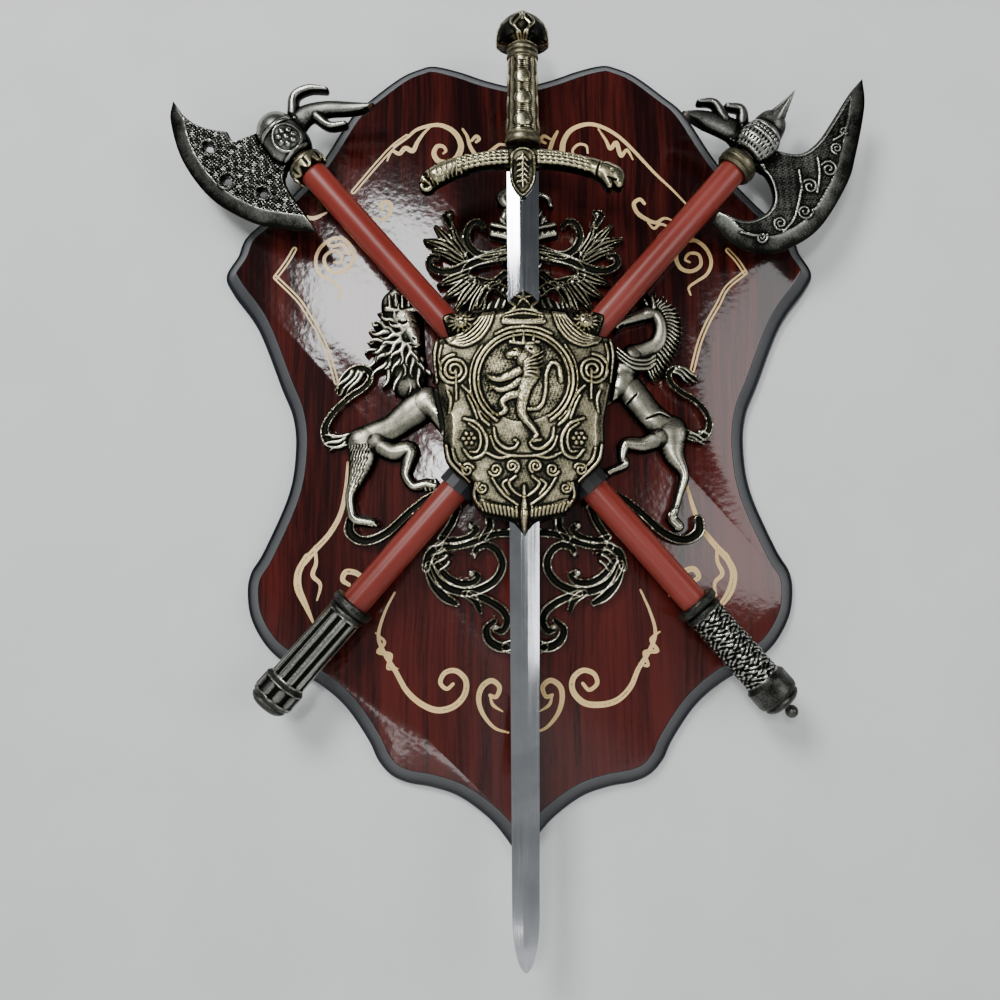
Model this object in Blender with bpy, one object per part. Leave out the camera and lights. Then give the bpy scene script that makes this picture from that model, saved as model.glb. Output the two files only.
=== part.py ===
"""Wall plaque: a shield-shaped board with a cast coat of arms, a sword and two crossed battle axes.

The plaque hangs upright. X is across it, Z is up, and the board's back lies on the plane Y = 0 with its face
towards -Y. The origin is on the board's back, straight behind the point where the two shafts cross.
"""

import math

import bpy
import numpy as np

MM = 0.001
FIT = 0.3 * MM

BOARD_WIDTH = 389 * MM
BOARD_HEIGHT = 524 * MM
BOARD_THICKNESS = 15 * MM
BOARD_EDGE = 5 * MM
RIM_WIDTH = 10 * MM
BOARD_SHIFT = -3 * MM

ARMS_HEIGHT = 295 * MM
ARMS_EDGE = 2.2 * MM
ARMS_RELIEF = 6.0 * MM
BACKING_SHARE = 0.35

SHAFT_DIAMETER = 18 * MM
SHAFT_ANGLE = math.radians(49)
SHAFT_UPPER = 214 * MM
SHAFT_LOWER = 166 * MM
SHAFT_SIDES = 18

BLADE_WIDTH = 20 * MM
BLADE_TIP_WIDTH = 16 * MM
BLADE_THICKNESS = 4.2 * MM
BLADE_FLAT = 4.4 * MM
BLADE_EDGE = 0.8 * MM
BLADE_BELOW = 331 * MM
BLADE_POINT = 34 * MM

GUARD_SPAN = 125 * MM
GUARD_LEVEL = 154 * MM
GRIP_LENGTH = 61 * MM
GRIP_WIDTH = 21 * MM
POMMEL_HEIGHT = 28 * MM
POMMEL_WIDTH = 34 * MM

CARTOUCHE_HEIGHT = 151 * MM
CARTOUCHE_WALL = 3.2 * MM
CARTOUCHE_CROWN = 5.0 * MM
CARTOUCHE_RELIEF = 3.6 * MM
NOTCH_ROOM = 1.8 * MM

HEAD_LENGTH = 128 * MM
HEAD_THICKNESS = 9 * MM
SOCKET_DIAMETER = 28 * MM
COLLAR_LENGTH = 9 * MM
COLLAR_WALL = 3.6 * MM
FERRULE_LENGTH = 82 * MM
FERRULE_DIAMETER = 23 * MM
FERRULE_BORE_DEPTH = 8 * MM
KNOB_DIAMETER = 8 * MM
CLIP_LENGTH = 9 * MM
CLIP_WALL = 2.4 * MM
CLIP_START = 66 * MM

SEAT = BOARD_THICKNESS + FIT
SHAFT_RADIUS = SHAFT_DIAMETER / 2
SHAFT_DEPTH = SEAT + ARMS_EDGE + ARMS_RELIEF + FIT + SHAFT_RADIUS
BLADE_DEPTH = SHAFT_DEPTH + SHAFT_RADIUS + FIT + BLADE_THICKNESS / 2
POCKET_DEPTH = BLADE_DEPTH + BLADE_THICKNESS / 2 + FIT
BORE_RADIUS = SHAFT_RADIUS + FIT
CLIP_RADIUS = BORE_RADIUS + CLIP_WALL
GRIP_FOOT = GUARD_LEVEL + 13 * MM
GRIP_TOP = GRIP_FOOT + GRIP_LENGTH
BLADE_TOP = GUARD_LEVEL - 2 * MM

# Half of the board's outline, from the dip at the top to the tip, in steps of its own height, 524 steps tall.
# The number after each point is 1 where the outline turns sharply.
BOARD_STEPS = 524
BOARD_SPAN = 389
BOARD_HALF = (
    (0, 228, 0), (20, 232, 0), (40, 239, 0), (57, 243, 0), (67, 241, 0), (80, 235, 0), (98, 221, 0),
    (113, 207, 0), (134, 173, 0), (160, 143, 0), (181, 124, 0), (187, 110, 1), (194.5, 96, 0), (189, 83, 0),
    (172, 59, 0), (156, 20, 0), (148, 0, 0), (146, -22, 0), (150, -50, 0), (165, -86, 0), (173, -100, 0),
    (175, -113, 0), (172, -130, 0), (162, -147, 0), (148, -159, 0), (126, -172, 0), (110, -186, 0),
    (96, -206, 0), (90, -218, 0), (82, -227, 0), (71, -232, 0), (55, -235, 0), (38, -241, 0), (20, -254, 0),
    (8, -268, 0), (0, -281, 1),
)

# The casting is drawn in steps of its own height, 295 steps tall, from the crossing of the shafts.
# A stroke is a row of points (across, up, half-width).
ARMS_STEPS = 295
BACKING = ((0, 40, 40), (0, -20, 42), (0, -42, 30))
MANTLING = (
    ((-9, 109, 3.5), (-24, 104, 3.4), (-33, 108, 3.2), (-37, 116, 3), (-35, 124, 2.8), (-30, 127, 2.6),
     (-25, 123, 2.6)),
    ((-9, 106, 4), (-26, 102, 3.8), (-38, 97, 3.6), (-46, 94, 3.2), (-55, 94, 3), (-61, 98, 2.8), (-60, 103, 2.6),
     (-56, 103, 2.4)),
    ((-10, 104, 3.6), (-30, 100, 3.4), (-37, 95, 3), (-37, 89, 2.8), (-33, 88, 3)),
    ((-40, 104, 4), (-52, 112, 4.4), (-64, 115, 1.6)),
    ((-40, 105, 4), (-49, 115, 4.4), (-57, 124, 1.8)),
    ((-39, 107, 3.6), (-45, 117, 3.8), (-47, 128, 1.8)),
    ((-41, 103, 3.6), (-50, 107, 3.8), (-58, 109, 2)),
    ((-47, 124, 2.4), (-51, 131, 2.6), (-47, 133, 1.8)),
    ((-37, 92, 4), (-47, 88, 4), (-55, 85, 1.6)),
    ((-35, 88, 4), (-44, 81, 4.2), (-51, 76, 1.6)),
    ((-31, 86, 4), (-38, 77, 4.4), (-44, 68, 2)),
    ((-24, 84, 4), (-30, 74, 4.6), (-35, 62, 3)),
    ((-9, 78, 3.4), (-18, 84, 3.2), (-25, 80, 3), (-28, 70, 3.4)),
    ((-12, 92, 3), (-20, 86, 3), (-30, 88, 3)),
)
CREST = (
    ((0, 104, 9), (0, 100, 13)),
    ((-20, 119, 3), (0, 116, 4), (20, 119, 3)),
    ((-20, 125, 2.4), (0, 122, 4), (20, 125, 2.4)),
    ((0, 84, 9), (0, 60, 14)),
    ((-14, 127, 3), (-8, 136, 4), (6, 137, 4), (14, 127, 3)),
    ((4, 138, 3), (9, 145, 2.4), (16, 143, 2.2), (18, 138, 2)),
    ((-8, 136, 4), (-13, 143, 5), (-11, 147, 3)),
)
LOWER_SCROLLS = (
    ((-32, -90, 2.4), (-29, -85, 2.6), (-22, -84, 2.8), (-16, -89, 3), (-14, -97, 3), (-18, -105, 3.2),
     (-25, -110, 3.4), (-35, -113, 3.4), (-46, -111, 3.4), (-55, -105, 3.2), (-60, -96, 3)),
    ((-33, -101, 3.4), (-29, -103, 2.6), (-33, -107, 2.8), (-42, -107, 3), (-50, -102, 2.8), (-56, -94, 2.6)),
    ((-61, -98, 2.6), (-57, -108, 3.4), (-50, -116, 3.6), (-43, -120, 2.2)),
    ((-37, -114, 2.8), (-31, -118, 3), (-28, -125, 1.8)),
    ((-34, -114, 2.8), (-23, -118, 3), (-14, -124, 3.2), (-11, -131, 3), (-14, -137, 3), (-19, -137, 3.4)),
    ((-19, -131, 2), (-24, -136, 3), (-22, -143, 3.6), (-15, -147, 3.8), (-7, -145, 3.6), (0, -140, 3.6)),
    ((-12, -147, 3), (-6, -151, 2)),
    ((0, -76, 4), (-10, -76, 3), (-20, -77, 2.8), (-30, -81, 2.8), (-42, -84, 3), (-54, -85, 3)),
    ((-34, -71, 3.2), (-30, -74, 2.4), (-36, -79, 2.6), (-45, -81, 2.6), (-53, -79, 2.4)),
    ((-54, -84, 3), (-60, -90, 3.6), (-62, -98, 3)),
    ((-54, -88, 2), (-46, -90, 1.6)),
    ((-22, -64, 3), (-22, -72, 3), (-27, -80, 2.4)),
    ((-42, -60, 3), (-46, -70, 3), (-52, -79, 3)),
)
FEET_SCROLL = (
    ((-110, -68, 3.4), (-110, -75, 4), (-104, -80, 3.6), (-96, -80, 3.4), (-86, -75, 3.2), (-72, -62, 2.8),
     (-60, -53, 2.6), (-46, -48, 3)),
)
LION_BODY = (
    ((-62, 8, 11), (-72, 1, 10.5), (-84, -8, 9), (-95, -13, 9), (-103, -18, 10.5)),
    ((-103, -18, 10), (-103, -30, 8.5), (-107, -43, 5.2), (-110, -52, 3.6), (-109, -62, 3.4), (-106, -67, 3.8),
     (-96, -69, 3.4)),
    ((-94, -18, 7), (-84, -24, 6.5), (-73, -23, 6.2), (-74, -32, 4.6), (-75, -39, 3.9), (-70, -46, 3.8),
     (-62, -45, 4.2), (-56, -46, 3.4)),
    ((-62, 8, 9), (-54, -1, 6.6), (-47, -12, 5.4), (-42, -22, 4.6)),
)
LION_TAIL = (
    ((-106, -14, 4.4), (-116, -17, 4.2), (-124, -17, 4.2), (-127, -9, 3), (-122, 1, 2.6), (-112, 11, 2.6),
     (-102, 18, 2.6), (-98, 25, 2.6), (-102, 30, 2.8), (-109, 29, 3.2), (-115, 22, 4), (-118, 14, 2)),
)
LION_MANE = (
    ((-78, 58, 14), (-78, 40, 15), (-74, 22, 13)),
    ((-84, 66, 8), (-86, 74, 6), (-82, 79, 5)),
    ((-90, 64, 6), (-97, 56, 4.5), (-99, 48, 2)),
    ((-90, 52, 6), (-98, 44, 4.5), (-98, 35, 2)),
    ((-90, 40, 6), (-96, 31, 4.5), (-95, 21, 2.2)),
    ((-86, 30, 6), (-91, 20, 4.8), (-93, 9, 2.2)),
    ((-78, 24, 6), (-82, 15, 4.6), (-82, 6, 2.2)),
    ((-70, 20, 6), (-71, 12, 4.6), (-70, 4, 2)),
)
LION_FACE = (
    ((-78, 58, 9), (-74, 52, 7)),
    ((-73, 50, 5), (-70, 46, 4)),
)
HORSE_BODY = (
    ((62, 22, 9), (69, 14, 10), (79, 1, 9.4), (88, -8, 10), (94, -12, 11)),
    ((94, -14, 10.5), (95, -26, 7.6), (100, -36, 4.6), (101, -42, 3.8), (98, -52, 3), (95, -62, 3),
     (93, -67, 4), (97, -72, 4)),
    ((86, -16, 7), (76, -20, 5.6), (65, -20, 4.8), (62, -28, 3.6), (64, -33, 3.4), (55, -37, 3.2),
     (49, -41, 3.4), (47, -46, 3.2)),
    ((70, 36, 8), (64, 26, 9), (60, 18, 8), (50, 10, 6), (36, 2, 5)),
)
HORSE_NECK = (
    ((70, 37, 8), (79, 40, 7.6), (87, 46, 6.6), (89, 56, 5.4), (86, 64, 5.2), (80, 66, 5)),
    ((82, 66, 5.2), (73, 63, 4.4), (65, 60, 3.4), (60, 57, 3)),
    ((84, 69, 2.6), (83, 76, 1.4)),
)
HORSE_MANE = (
    ((86, 70, 4), (94, 66, 4.6), (97, 56, 5), (94, 44, 5), (88, 33, 4.6), (82, 24, 3)),
    ((84, 72, 3), (90, 76, 2)),
    ((70, 40, 6), (80, 32, 6), (88, 26, 3.4)),
)
HORSE_TAIL = (
    ((102, -13, 3.6), (112, -16, 3), (118, -10, 2.6), (117, -1, 2.2), (110, 8, 2.2), (102, 13, 2.2),
     (95, 19, 2.2), (93, 26, 2.2), (98, 29, 2.4), (105, 26, 3), (110, 21, 2)),
)

# Half of the cartouche's outline, from the crown to the tip, in steps of its own height, 151 steps tall.
CARTOUCHE_STEPS = 151
CARTOUCHE_HALF = (
    (0, 72, 1), (6, 68, 0), (11, 62, 1), (16, 61, 0), (26, 60, 0), (36, 59, 0), (49, 56, 0), (48, 48, 0),
    (46, 43, 1), (53, 41, 0), (56, 34, 0), (55, 22, 0), (52, 5, 0), (49, -11, 0), (49, -24, 0), (47, -35, 0),
    (41, -42, 0), (34, -48, 0), (31, -59, 0), (25, -66, 0), (13, -69, 0), (6, -72, 1), (0, -79, 1),
)
SHIELD_RIM_RADIUS = 30
RAMPANT_LION = (
    ((-3, 39, 4.6), (-6, 36, 3.6), (-11, 35, 1.8)),
    ((-2, 37, 5.6), (1, 30, 6.4), (2, 22, 6), (0, 14, 4.6)),
    ((0, 26, 4.4), (-8, 22, 3), (-14, 25, 2.2), (-19, 27, 1.8)),
    ((0, 20, 4), (-7, 15, 2.8), (-14, 14, 2.2), (-19, 17, 1.8)),
    ((0, 14, 4.6), (3, 6, 5), (-2, 2, 3.2), (-8, 5, 2.4), (-12, -1, 2.2), (-15, -5, 1.8)),
    ((3, 7, 4.8), (3, -2, 3.2), (8, -9, 2.4), (8, -15, 2), (3, -17, 1.8)),
    ((4, 8, 2), (12, 5, 1.8), (14, 14, 1.6), (13, 24, 1.6), (17, 29, 1.6), (21, 25, 1.8), (19, 18, 2.2)),
)
CARTOUCHE_SCROLLS = (
    ((-46, 38, 2.4), (-36, 36, 2.4), (-27, 40, 2.4), (-22, 48, 2.4), (-20, 57, 2.2)),
    ((-42, 39, 2.2), (-34, 41, 2.2), (-27, 47, 2.2), (-26, 57, 2.2)),
    ((-50, 34, 1.8), (-52, 24, 1.8), (-49, 15, 1.8)),
    ((-41, 22, 1.3), (-41, 4, 1.1)),
    ((-37, 12, 1.8), (-32, 6, 2), (-27, -6, 2.2), (-22, -12, 2)),
    ((-40, -2, 1.6), (-32, -6, 2), (-25, -16, 2.2), (-26, -27, 2.2), (-33, -32, 2), (-38, -28, 1.8)),
    ((-18, -14, 1.8), (-15, -22, 2), (-6, -27, 2), (0, -30, 2)),
    ((-14, -38, 2), (-20, -35, 2), (-23, -40, 2), (-19, -44, 1.8)),
    ((-46, -28, 2), (-42, -38, 2.2), (-35, -42, 2)),
    ((-16, -46, 1.6), (-10, -55, 1.8), (0, -64, 2)),
)
CARTOUCHE_CURLS = ((-6.5, -38, 4.2), (-34, -20, 5), (-26, -50, 3.6), (-33, -38, 3.4))

# Each axe head is drawn in steps of its own length, 128 steps long: along its shaft, and out to the edge.
HEAD_STEPS = 128
LEFT_EDGE = (
    (174, 24, 1), (188, 37, 0), (207, 51, 0), (235, 60, 0), (266, 58, 0), (292, 47, 0), (302, 37, 1),
    (288, 38, 0), (275, 34, 0), (262, 24, 1), (255, 25, 0), (251, 16, 0), (247, 4, 1), (220, 4, 1),
    (214, 16, 0), (202, 20, 0), (188, 21, 0),
)
LEFT_PIERCINGS = ((261, 40, 3.2), (236, 45, 3.4), (215, 33, 3.0))
LEFT_BEAK = (
    ((236, -6, 9), (238, -20, 7), (232, -34, 5.4), (222, -46, 4.4), (208, -64, 1.2)),
    ((244, -16, 4), (252, -24, 3.4), (250, -34, 3), (242, -42, 1.8)),
    ((232, -26, 4), (222, -28, 3), (216, -36, 2.2)),
)
RIGHT_EDGE = (
    (170, 12, 1), (168, 33, 0), (177, 51, 0), (192, 61, 0), (214, 66, 0), (246, 61, 0), (265, 53, 0),
    (294, 37, 0), (308, 24, 1), (294, 24, 0), (274, 27, 0), (255, 29, 0), (241, 25, 0), (232, 10, 1),
    (222, 3, 1), (214, 3, 1), (216, 18, 0), (208, 31, 0), (197, 34, 0), (185, 28, 0), (180, 16, 0), (178, 10, 1),
)
RIGHT_DRAGON = (
    ((226, -4, 9), (226, -16, 8), (222, -30, 7), (216, -42, 5), (207, -54, 1.4)),
    ((232, -14, 4.4), (240, -22, 3.4), (236, -30, 2.4)),
    ((228, -26, 4), (232, -38, 3), (226, -46, 1.6)),
)
RIGHT_SPIKE = ((232, 0, 12), (244, -1, 10), (245, -1, 7.6), (268, -3, 0.9))

# The guard is drawn in steps of its own span, 125 steps across, from its middle.
GUARD_STEPS = 125
GUARD_ARM = ((0, 4, 8), (12, 4, 6.4), (28, 2, 5.6), (44, -2, 6), (54, -7, 6.6))
LEFT_END = ((-52, -6, 6.8), (-58, -10, 6.6), (-60, -14, 5))
RIGHT_END = ((52, -5, 7), (58, -8, 6.4), (60, -14, 3.2))
RIGHT_JAW = ((52, -8, 5), (54, -15, 2.6))
LANGET = ((0, 2, 8), (0, -10, 8), (0, -18, 4), (0, -21, 1.6))

COLOURS = {
    "Board": ((0.065, 0.012, 0.011), 0.22, 0.0),
    "Shaft": ((0.14, 0.022, 0.016), 0.38, 0.0),
    "Pewter": ((0.20, 0.19, 0.15), 0.38, 1.0),
    "Brass": ((0.30, 0.26, 0.16), 0.38, 1.0),
    "Gunmetal": ((0.10, 0.10, 0.085), 0.36, 1.0),
    "Steel": ((0.62, 0.63, 0.65), 0.14, 1.0),
    "Clip": ((0.02, 0.02, 0.024), 0.5, 0.0),
}


def clear_scene():
    for thing in list(bpy.data.objects):
        bpy.data.objects.remove(thing, do_unlink=True)


def material(name):
    """One Principled material for each finish, made the first time it is asked for."""
    found = bpy.data.materials.get(name)
    if found:
        return found
    colour, roughness, metallic = COLOURS[name]
    made = bpy.data.materials.new(name)
    made.use_nodes = True
    shader = made.node_tree.nodes["Principled BSDF"]
    shader.inputs["Base Color"].default_value = (*colour, 1.0)
    shader.inputs["Roughness"].default_value = roughness
    shader.inputs["Metallic"].default_value = metallic
    made.diffuse_color = (*colour, 1.0)
    return made


def add_object(name, points, faces, finish, smooth=True):
    mesh = bpy.data.meshes.new(name)
    mesh.from_pydata([tuple(map(float, p)) for p in points], [], [tuple(map(int, f)) for f in faces])
    mesh.validate()
    if smooth:
        mesh.shade_smooth()
        mesh.set_sharp_from_angle(angle=math.radians(35))
    made = bpy.data.objects.new(name, mesh)
    made.data.materials.append(material(finish))
    bpy.context.scene.collection.objects.link(made)
    return made


def thin_out(thing, triangles):
    """Fewer triangles where the surface is plain, down to about the number asked for."""
    mesh = thing.data
    mesh.calc_loop_triangles()
    modifier = thing.modifiers.new("Fewer faces", "DECIMATE")
    modifier.ratio = min(1.0, triangles / len(mesh.loop_triangles))
    modifier.use_collapse_triangulate = True


def smooth_line(points, spans=5):
    """A Catmull-Rom curve through rows of numbers, with this many spans between two rows."""
    rows = np.array(points, float)
    padded = np.vstack((2 * rows[0] - rows[1], rows, 2 * rows[-1] - rows[-2]))
    t = np.linspace(0, 1, spans, endpoint=False)[:, None]
    parts = []
    for i in range(len(rows) - 1):
        a, b, c, d = padded[i:i + 4]
        parts.append(0.5 * (2 * b + (c - a) * t + (2 * a - 5 * b + 4 * c - d) * t**2
                            + (3 * b - a - 3 * c + d) * t**3))
    return np.vstack((*parts, rows[-1:]))


def outline(points, spans=5):
    """A closed outline of rows (x, z, corner): smooth, except that it may turn sharply at each corner."""
    rows = np.array(points, float)
    corners = np.flatnonzero(rows[:, 2] > 0)
    if not len(corners):
        return smooth_line(np.vstack((rows, rows[:2])), spans)[spans // 2:-spans][:, :2]
    rows = np.roll(rows, -corners[0], axis=0)
    ends = [*np.flatnonzero(rows[:, 2] > 0), len(rows)]
    rows = np.vstack((rows, rows[:1]))
    return np.vstack([smooth_line(rows[a:b + 1, :2], spans)[:-1] for a, b in zip(ends, ends[1:])])


def mirrored(half, spans=5):
    """A closed outline from its right half, whose first and last points are on the axis."""
    half = list(half)
    return outline(half + [(-x, z, corner) for x, z, corner in half[-2:0:-1]], spans)


def other_side(strokes):
    return tuple(tuple((-x, z, r) for x, z, r in stroke) for stroke in strokes)


def inside_outline(x, z, corners):
    """How far each place is inside a closed outline, below zero outside it."""
    away = np.full(x.shape, 1.0)
    odd = np.zeros(x.shape, bool)
    for (ax, az), (bx, bz) in zip(corners, np.roll(corners, -1, axis=0)):
        dx, dz = bx - ax, bz - az
        t = np.clip(((x - ax) * dx + (z - az) * dz) / max(dx * dx + dz * dz, 1e-12), 0, 1)
        away = np.minimum(away, np.hypot(x - ax - t * dx, z - az - t * dz))
        if az != bz:
            odd ^= ((az > z) != (bz > z)) & (x < ax + dx * (z - az) / dz)
    return np.where(odd, away, -away)


class Relief:
    """A casting drawn on a grid, as how far each place is inside its outline and how high its front stands."""

    def __init__(self, low, high, cell, edge):
        self.cell = cell
        self.edge = edge
        columns = np.arange(low[0], high[0] + cell, cell)
        rows = np.arange(low[1], high[1] + cell, cell)
        self.x, self.z = np.meshgrid(columns, rows)
        self.inside = np.full(self.x.shape, -10 * cell)
        self.front = np.zeros(self.x.shape)
        self.rim = np.zeros(self.x.shape)

    def window(self, rows):
        """The part of the grid round these points, as slices."""
        reach = rows[:, 2].max() + 2 * self.cell
        across = np.searchsorted(self.x[0], [rows[:, 0].min() - reach, rows[:, 0].max() + reach])
        up = np.searchsorted(self.z[:, 0], [rows[:, 1].min() - reach, rows[:, 1].max() + reach])
        return slice(*up), slice(*across)

    def near(self, rows, place):
        """How far inside a tapered stroke each place is, and its distance from the middle in half-widths."""
        x, z = self.x[place], self.z[place]
        inside = np.full(x.shape, -1.0)
        share = np.full(x.shape, 9.0)
        for (ax, az, ar), (bx, bz, br) in zip(rows, rows[1:]):
            dx, dz = bx - ax, bz - az
            t = np.clip(((x - ax) * dx + (z - az) * dz) / max(dx * dx + dz * dz, 1e-12), 0, 1)
            away = np.hypot(x - ax - t * dx, z - az - t * dz)
            radius = ar + t * (br - ar)
            inside = np.maximum(inside, radius - away)
            share = np.minimum(share, away / radius)
        return inside, share

    def stroke(self, points, unit, height, base=0.0):
        """A rounded bar along the stroke, standing on base: its height follows a circle across it."""
        rows = smooth_line(points) * unit
        place = self.window(rows)
        inside, share = self.near(rows, place)
        rise = self.edge + base + height * np.sqrt(np.clip(1 - share**2, 0, 1))
        self.lay(place, inside, rise, self.edge + base)

    def lay(self, place, inside, rise, border):
        self.inside[place] = np.maximum(self.inside[place], inside)
        self.front[place] = np.where(inside > 0, np.maximum(self.front[place], rise), self.front[place])
        close = inside > -1.5 * self.cell
        self.rim[place] = np.where(close, np.maximum(self.rim[place], border), self.rim[place])

    def fill(self, corners, height, bevel, base=0.0):
        """A flat sheet inside a closed outline, rising over the bevel's width from its border."""
        inside = self.within(corners)
        rise = self.edge + base + height * np.clip(inside / bevel, 0, 1)
        self.lay((slice(None), slice(None)), inside, rise, self.edge + base)
        return inside

    def within(self, corners):
        return inside_outline(self.x, self.z, corners)

    def emboss(self, points, unit, height):
        """Raises, or with a negative height cuts, a rounded line on the front that is there."""
        rows = smooth_line(points) * unit
        place = self.window(rows)
        share = self.near(rows, place)[1]
        self.front[place] += height * np.sqrt(np.clip(1 - share**2, 0, 1))

    def keep(self, inside):
        """Cuts off what lies outside the given field."""
        self.inside = np.minimum(self.inside, inside)

    def triangles(self):
        """The grid's triangles cut off at the outline: points (x, z, front, how far along a grid edge)."""
        tall, wide = self.x.shape
        ids = np.arange(tall * wide).reshape(tall, wide)
        a, b, c, d = ids[:-1, :-1].ravel(), ids[:-1, 1:].ravel(), ids[1:, 1:].ravel(), ids[1:, :-1].ravel()
        corners = np.vstack((np.column_stack((a, b, c)), np.column_stack((a, c, d))))
        depth = self.inside.ravel()
        depth = np.where(np.abs(depth) < 1e-9, 1e-9, depth)
        count = (depth[corners] > 0).sum(axis=1)
        whole = corners[count == 3]

        def turned(cells, lone):
            first = lone.argmax(axis=1)
            order = (first[:, None] + np.arange(3)) % 3
            return np.take_along_axis(cells, order, axis=1)

        one = turned(corners[count == 1], depth[corners[count == 1]] > 0)
        two = turned(corners[count == 2], depth[corners[count == 2]] <= 0)
        pairs = np.vstack((one[:, [0, 1]], one[:, [0, 2]], two[:, [1, 0]], two[:, [2, 0]]))
        keys, index = np.unique(pairs, axis=0, return_inverse=True)
        index = index.ravel() + tall * wide
        n, m = len(one), len(two)
        p, q, r, s = index[:n], index[n:2 * n], index[2 * n:2 * n + m], index[2 * n + m:]
        faces = np.vstack((
            whole,
            np.column_stack((one[:, 0], p, q)),
            np.column_stack((r, two[:, 1], two[:, 2])),
            np.column_stack((r, two[:, 2], s)),
        ))
        inner, outer = keys[:, 0], keys[:, 1]
        t = np.clip(depth[inner] / (depth[inner] - depth[outer]), 0.1, 0.9)
        x, z = self.x.ravel(), self.z.ravel()
        front = self.front.ravel()
        rim = np.where(self.rim > 0, self.rim, self.edge).ravel()
        px = np.concatenate((x, x[inner] + t * (x[outer] - x[inner])))
        pz = np.concatenate((z, z[inner] + t * (z[outer] - z[inner])))
        pf = np.concatenate((front, front[inner] + t * (np.minimum(rim[outer], front[inner]) - front[inner])))
        used, faces = np.unique(faces, return_inverse=True)
        return px[used], pz[used], pf[used], faces.reshape(-1, 3)

    def solid(self, name, finish, back, place, triangles):
        """One closed body between the front and the back, whose outline has upright sides."""
        x, z, front, faces = self.triangles()
        behind = back(x, z, front)
        n = len(x)
        edges = np.vstack((faces[:, [0, 1]], faces[:, [1, 2]], faces[:, [2, 0]]))
        _, index, count = np.unique(np.sort(edges, axis=1), axis=0, return_inverse=True, return_counts=True)
        border = edges[count[index.ravel()] == 1]
        walls = np.vstack((
            np.column_stack((border[:, 1], border[:, 0], border[:, 0] + n)),
            np.column_stack((border[:, 1], border[:, 0] + n, border[:, 1] + n)),
        ))
        points = np.vstack((place(x, z, front), place(x, z, behind)))
        made = add_object(name, points, np.vstack((faces, faces[:, ::-1] + n, walls)), finish)
        make_outward(made)
        thin_out(made, triangles)
        return made


def on_board(depth):
    """Places a relief flat, with its zero height at this depth in front of the wall."""
    return lambda x, z, height: np.column_stack((x, -(depth + height), z))


def across_shaft(side, depth):
    """Places a relief drawn along a shaft and out to its left or right: side is -1 or 1."""
    c, s = math.cos(SHAFT_ANGLE), math.sin(SHAFT_ANGLE)

    def place(along, out, height):
        return np.column_stack((side * (along * c + out * s), -(depth + height), along * s - out * c))

    return place


def turned(name, profile, finish, place, sides=20, flutes=0, depth=0.0):
    """A turned piece from rows (along, radius). Flutes take a share off each radius that is wider than the bore."""
    rows = np.array(profile, float)
    turn = np.linspace(0, 2 * math.pi, sides, endpoint=False)
    wave = 1 - depth * (0.5 - 0.5 * np.cos(flutes * turn)) if flutes else np.ones(sides)
    inner = rows[1:-1] if rows[0, 1] == 0 else rows
    along = np.repeat(inner[:, 0], sides)
    plain = inner[:, 1:] <= BORE_RADIUS
    radius = np.where(plain, inner[:, 1:], inner[:, 1:] * wave).ravel()
    turns = np.tile(turn, len(inner))
    points = place(along, radius * np.cos(turns), radius * np.sin(turns))
    faces = []
    rings = len(inner)
    last = rings if rows[0, 1] > 0 else rings - 1
    for i in range(last):
        for j in range(sides):
            k = (j + 1) % sides
            a, b = i * sides, ((i + 1) % rings) * sides
            faces.append((a + j, a + k, b + k, b + j))
    if rows[0, 1] == 0:
        faces.append([j for j in reversed(range(sides))])
        faces.append([(rings - 1) * sides + j for j in range(sides)])
    made = add_object(name, points, faces, finish)
    make_outward(made)
    return made


def make_outward(thing):
    """Turns every face round if the body's volume comes out below zero."""
    mesh = thing.data
    mesh.calc_loop_triangles()
    corners = np.array([[mesh.vertices[i].co for i in t.vertices] for t in mesh.loop_triangles])
    if np.linalg.det(corners).sum() < 0:
        mesh.flip_normals()


def along_shaft(side, depth):
    """Places a turned piece on a shaft's axis: along it from the crossing, out, and forward."""
    place = across_shaft(side, depth)
    return lambda along, out, forward: place(along, out, forward)


def upright(depth):
    return lambda along, out, forward: np.column_stack((out, -(depth + forward), along))


def meet_on_axis(ring, moved):
    """Near the tip both sides of a ring that is moved in cross the axis: there they meet at one point on it."""
    crossed = (moved[:, 0] * np.sign(ring[:, 0]) < 0.3 * MM) & (ring[:, 1] < 0)
    if crossed.sum() < 2:
        return moved
    sound = moved[(ring[:, 0] > 0) & ~crossed & (ring[:, 1] < 0)]
    a, b = sound[np.argsort(sound[:, 1])[:2]]
    level = a[1] - a[0] * (b[1] - a[1]) / (b[0] - a[0])
    return np.where(crossed[:, None], np.array([0.0, level]), moved)


def make_board():
    """Outline rings from back to face: an upright edge, then a hollowed bevel up to the flat face."""
    size = np.array([BOARD_WIDTH, BOARD_HEIGHT])
    ring = mirrored(BOARD_HALF, 2) * size / np.array([BOARD_SPAN, BOARD_STEPS])
    run = np.roll(ring, -1, axis=0) - np.roll(ring, 1, axis=0)
    inward = np.column_stack((run[:, 1], -run[:, 0])) / np.linalg.norm(run, axis=1)[:, None]
    inward *= -np.sign((ring * inward).sum())
    steps = ((0, 0), (0, BOARD_EDGE), (0.45, BOARD_EDGE + 0.3 * (BOARD_THICKNESS - BOARD_EDGE)),
             (1, BOARD_THICKNESS))
    count = len(ring)
    points = []
    for share, depth in steps:
        at = meet_on_axis(ring, ring + inward * share * RIM_WIDTH)
        points += [(x + BOARD_SHIFT, -depth, z) for x, z in at]
    faces = []
    for i in range(len(steps) - 1):
        for j in range(count):
            k = (j + 1) % count
            faces.append((i * count + j, i * count + k, (i + 1) * count + k, (i + 1) * count + j))
    faces.append(list(reversed(range(count))))
    faces.append([(len(steps) - 1) * count + j for j in range(count)])
    made = add_object("board", points, faces, "Board")
    make_outward(made)


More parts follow.
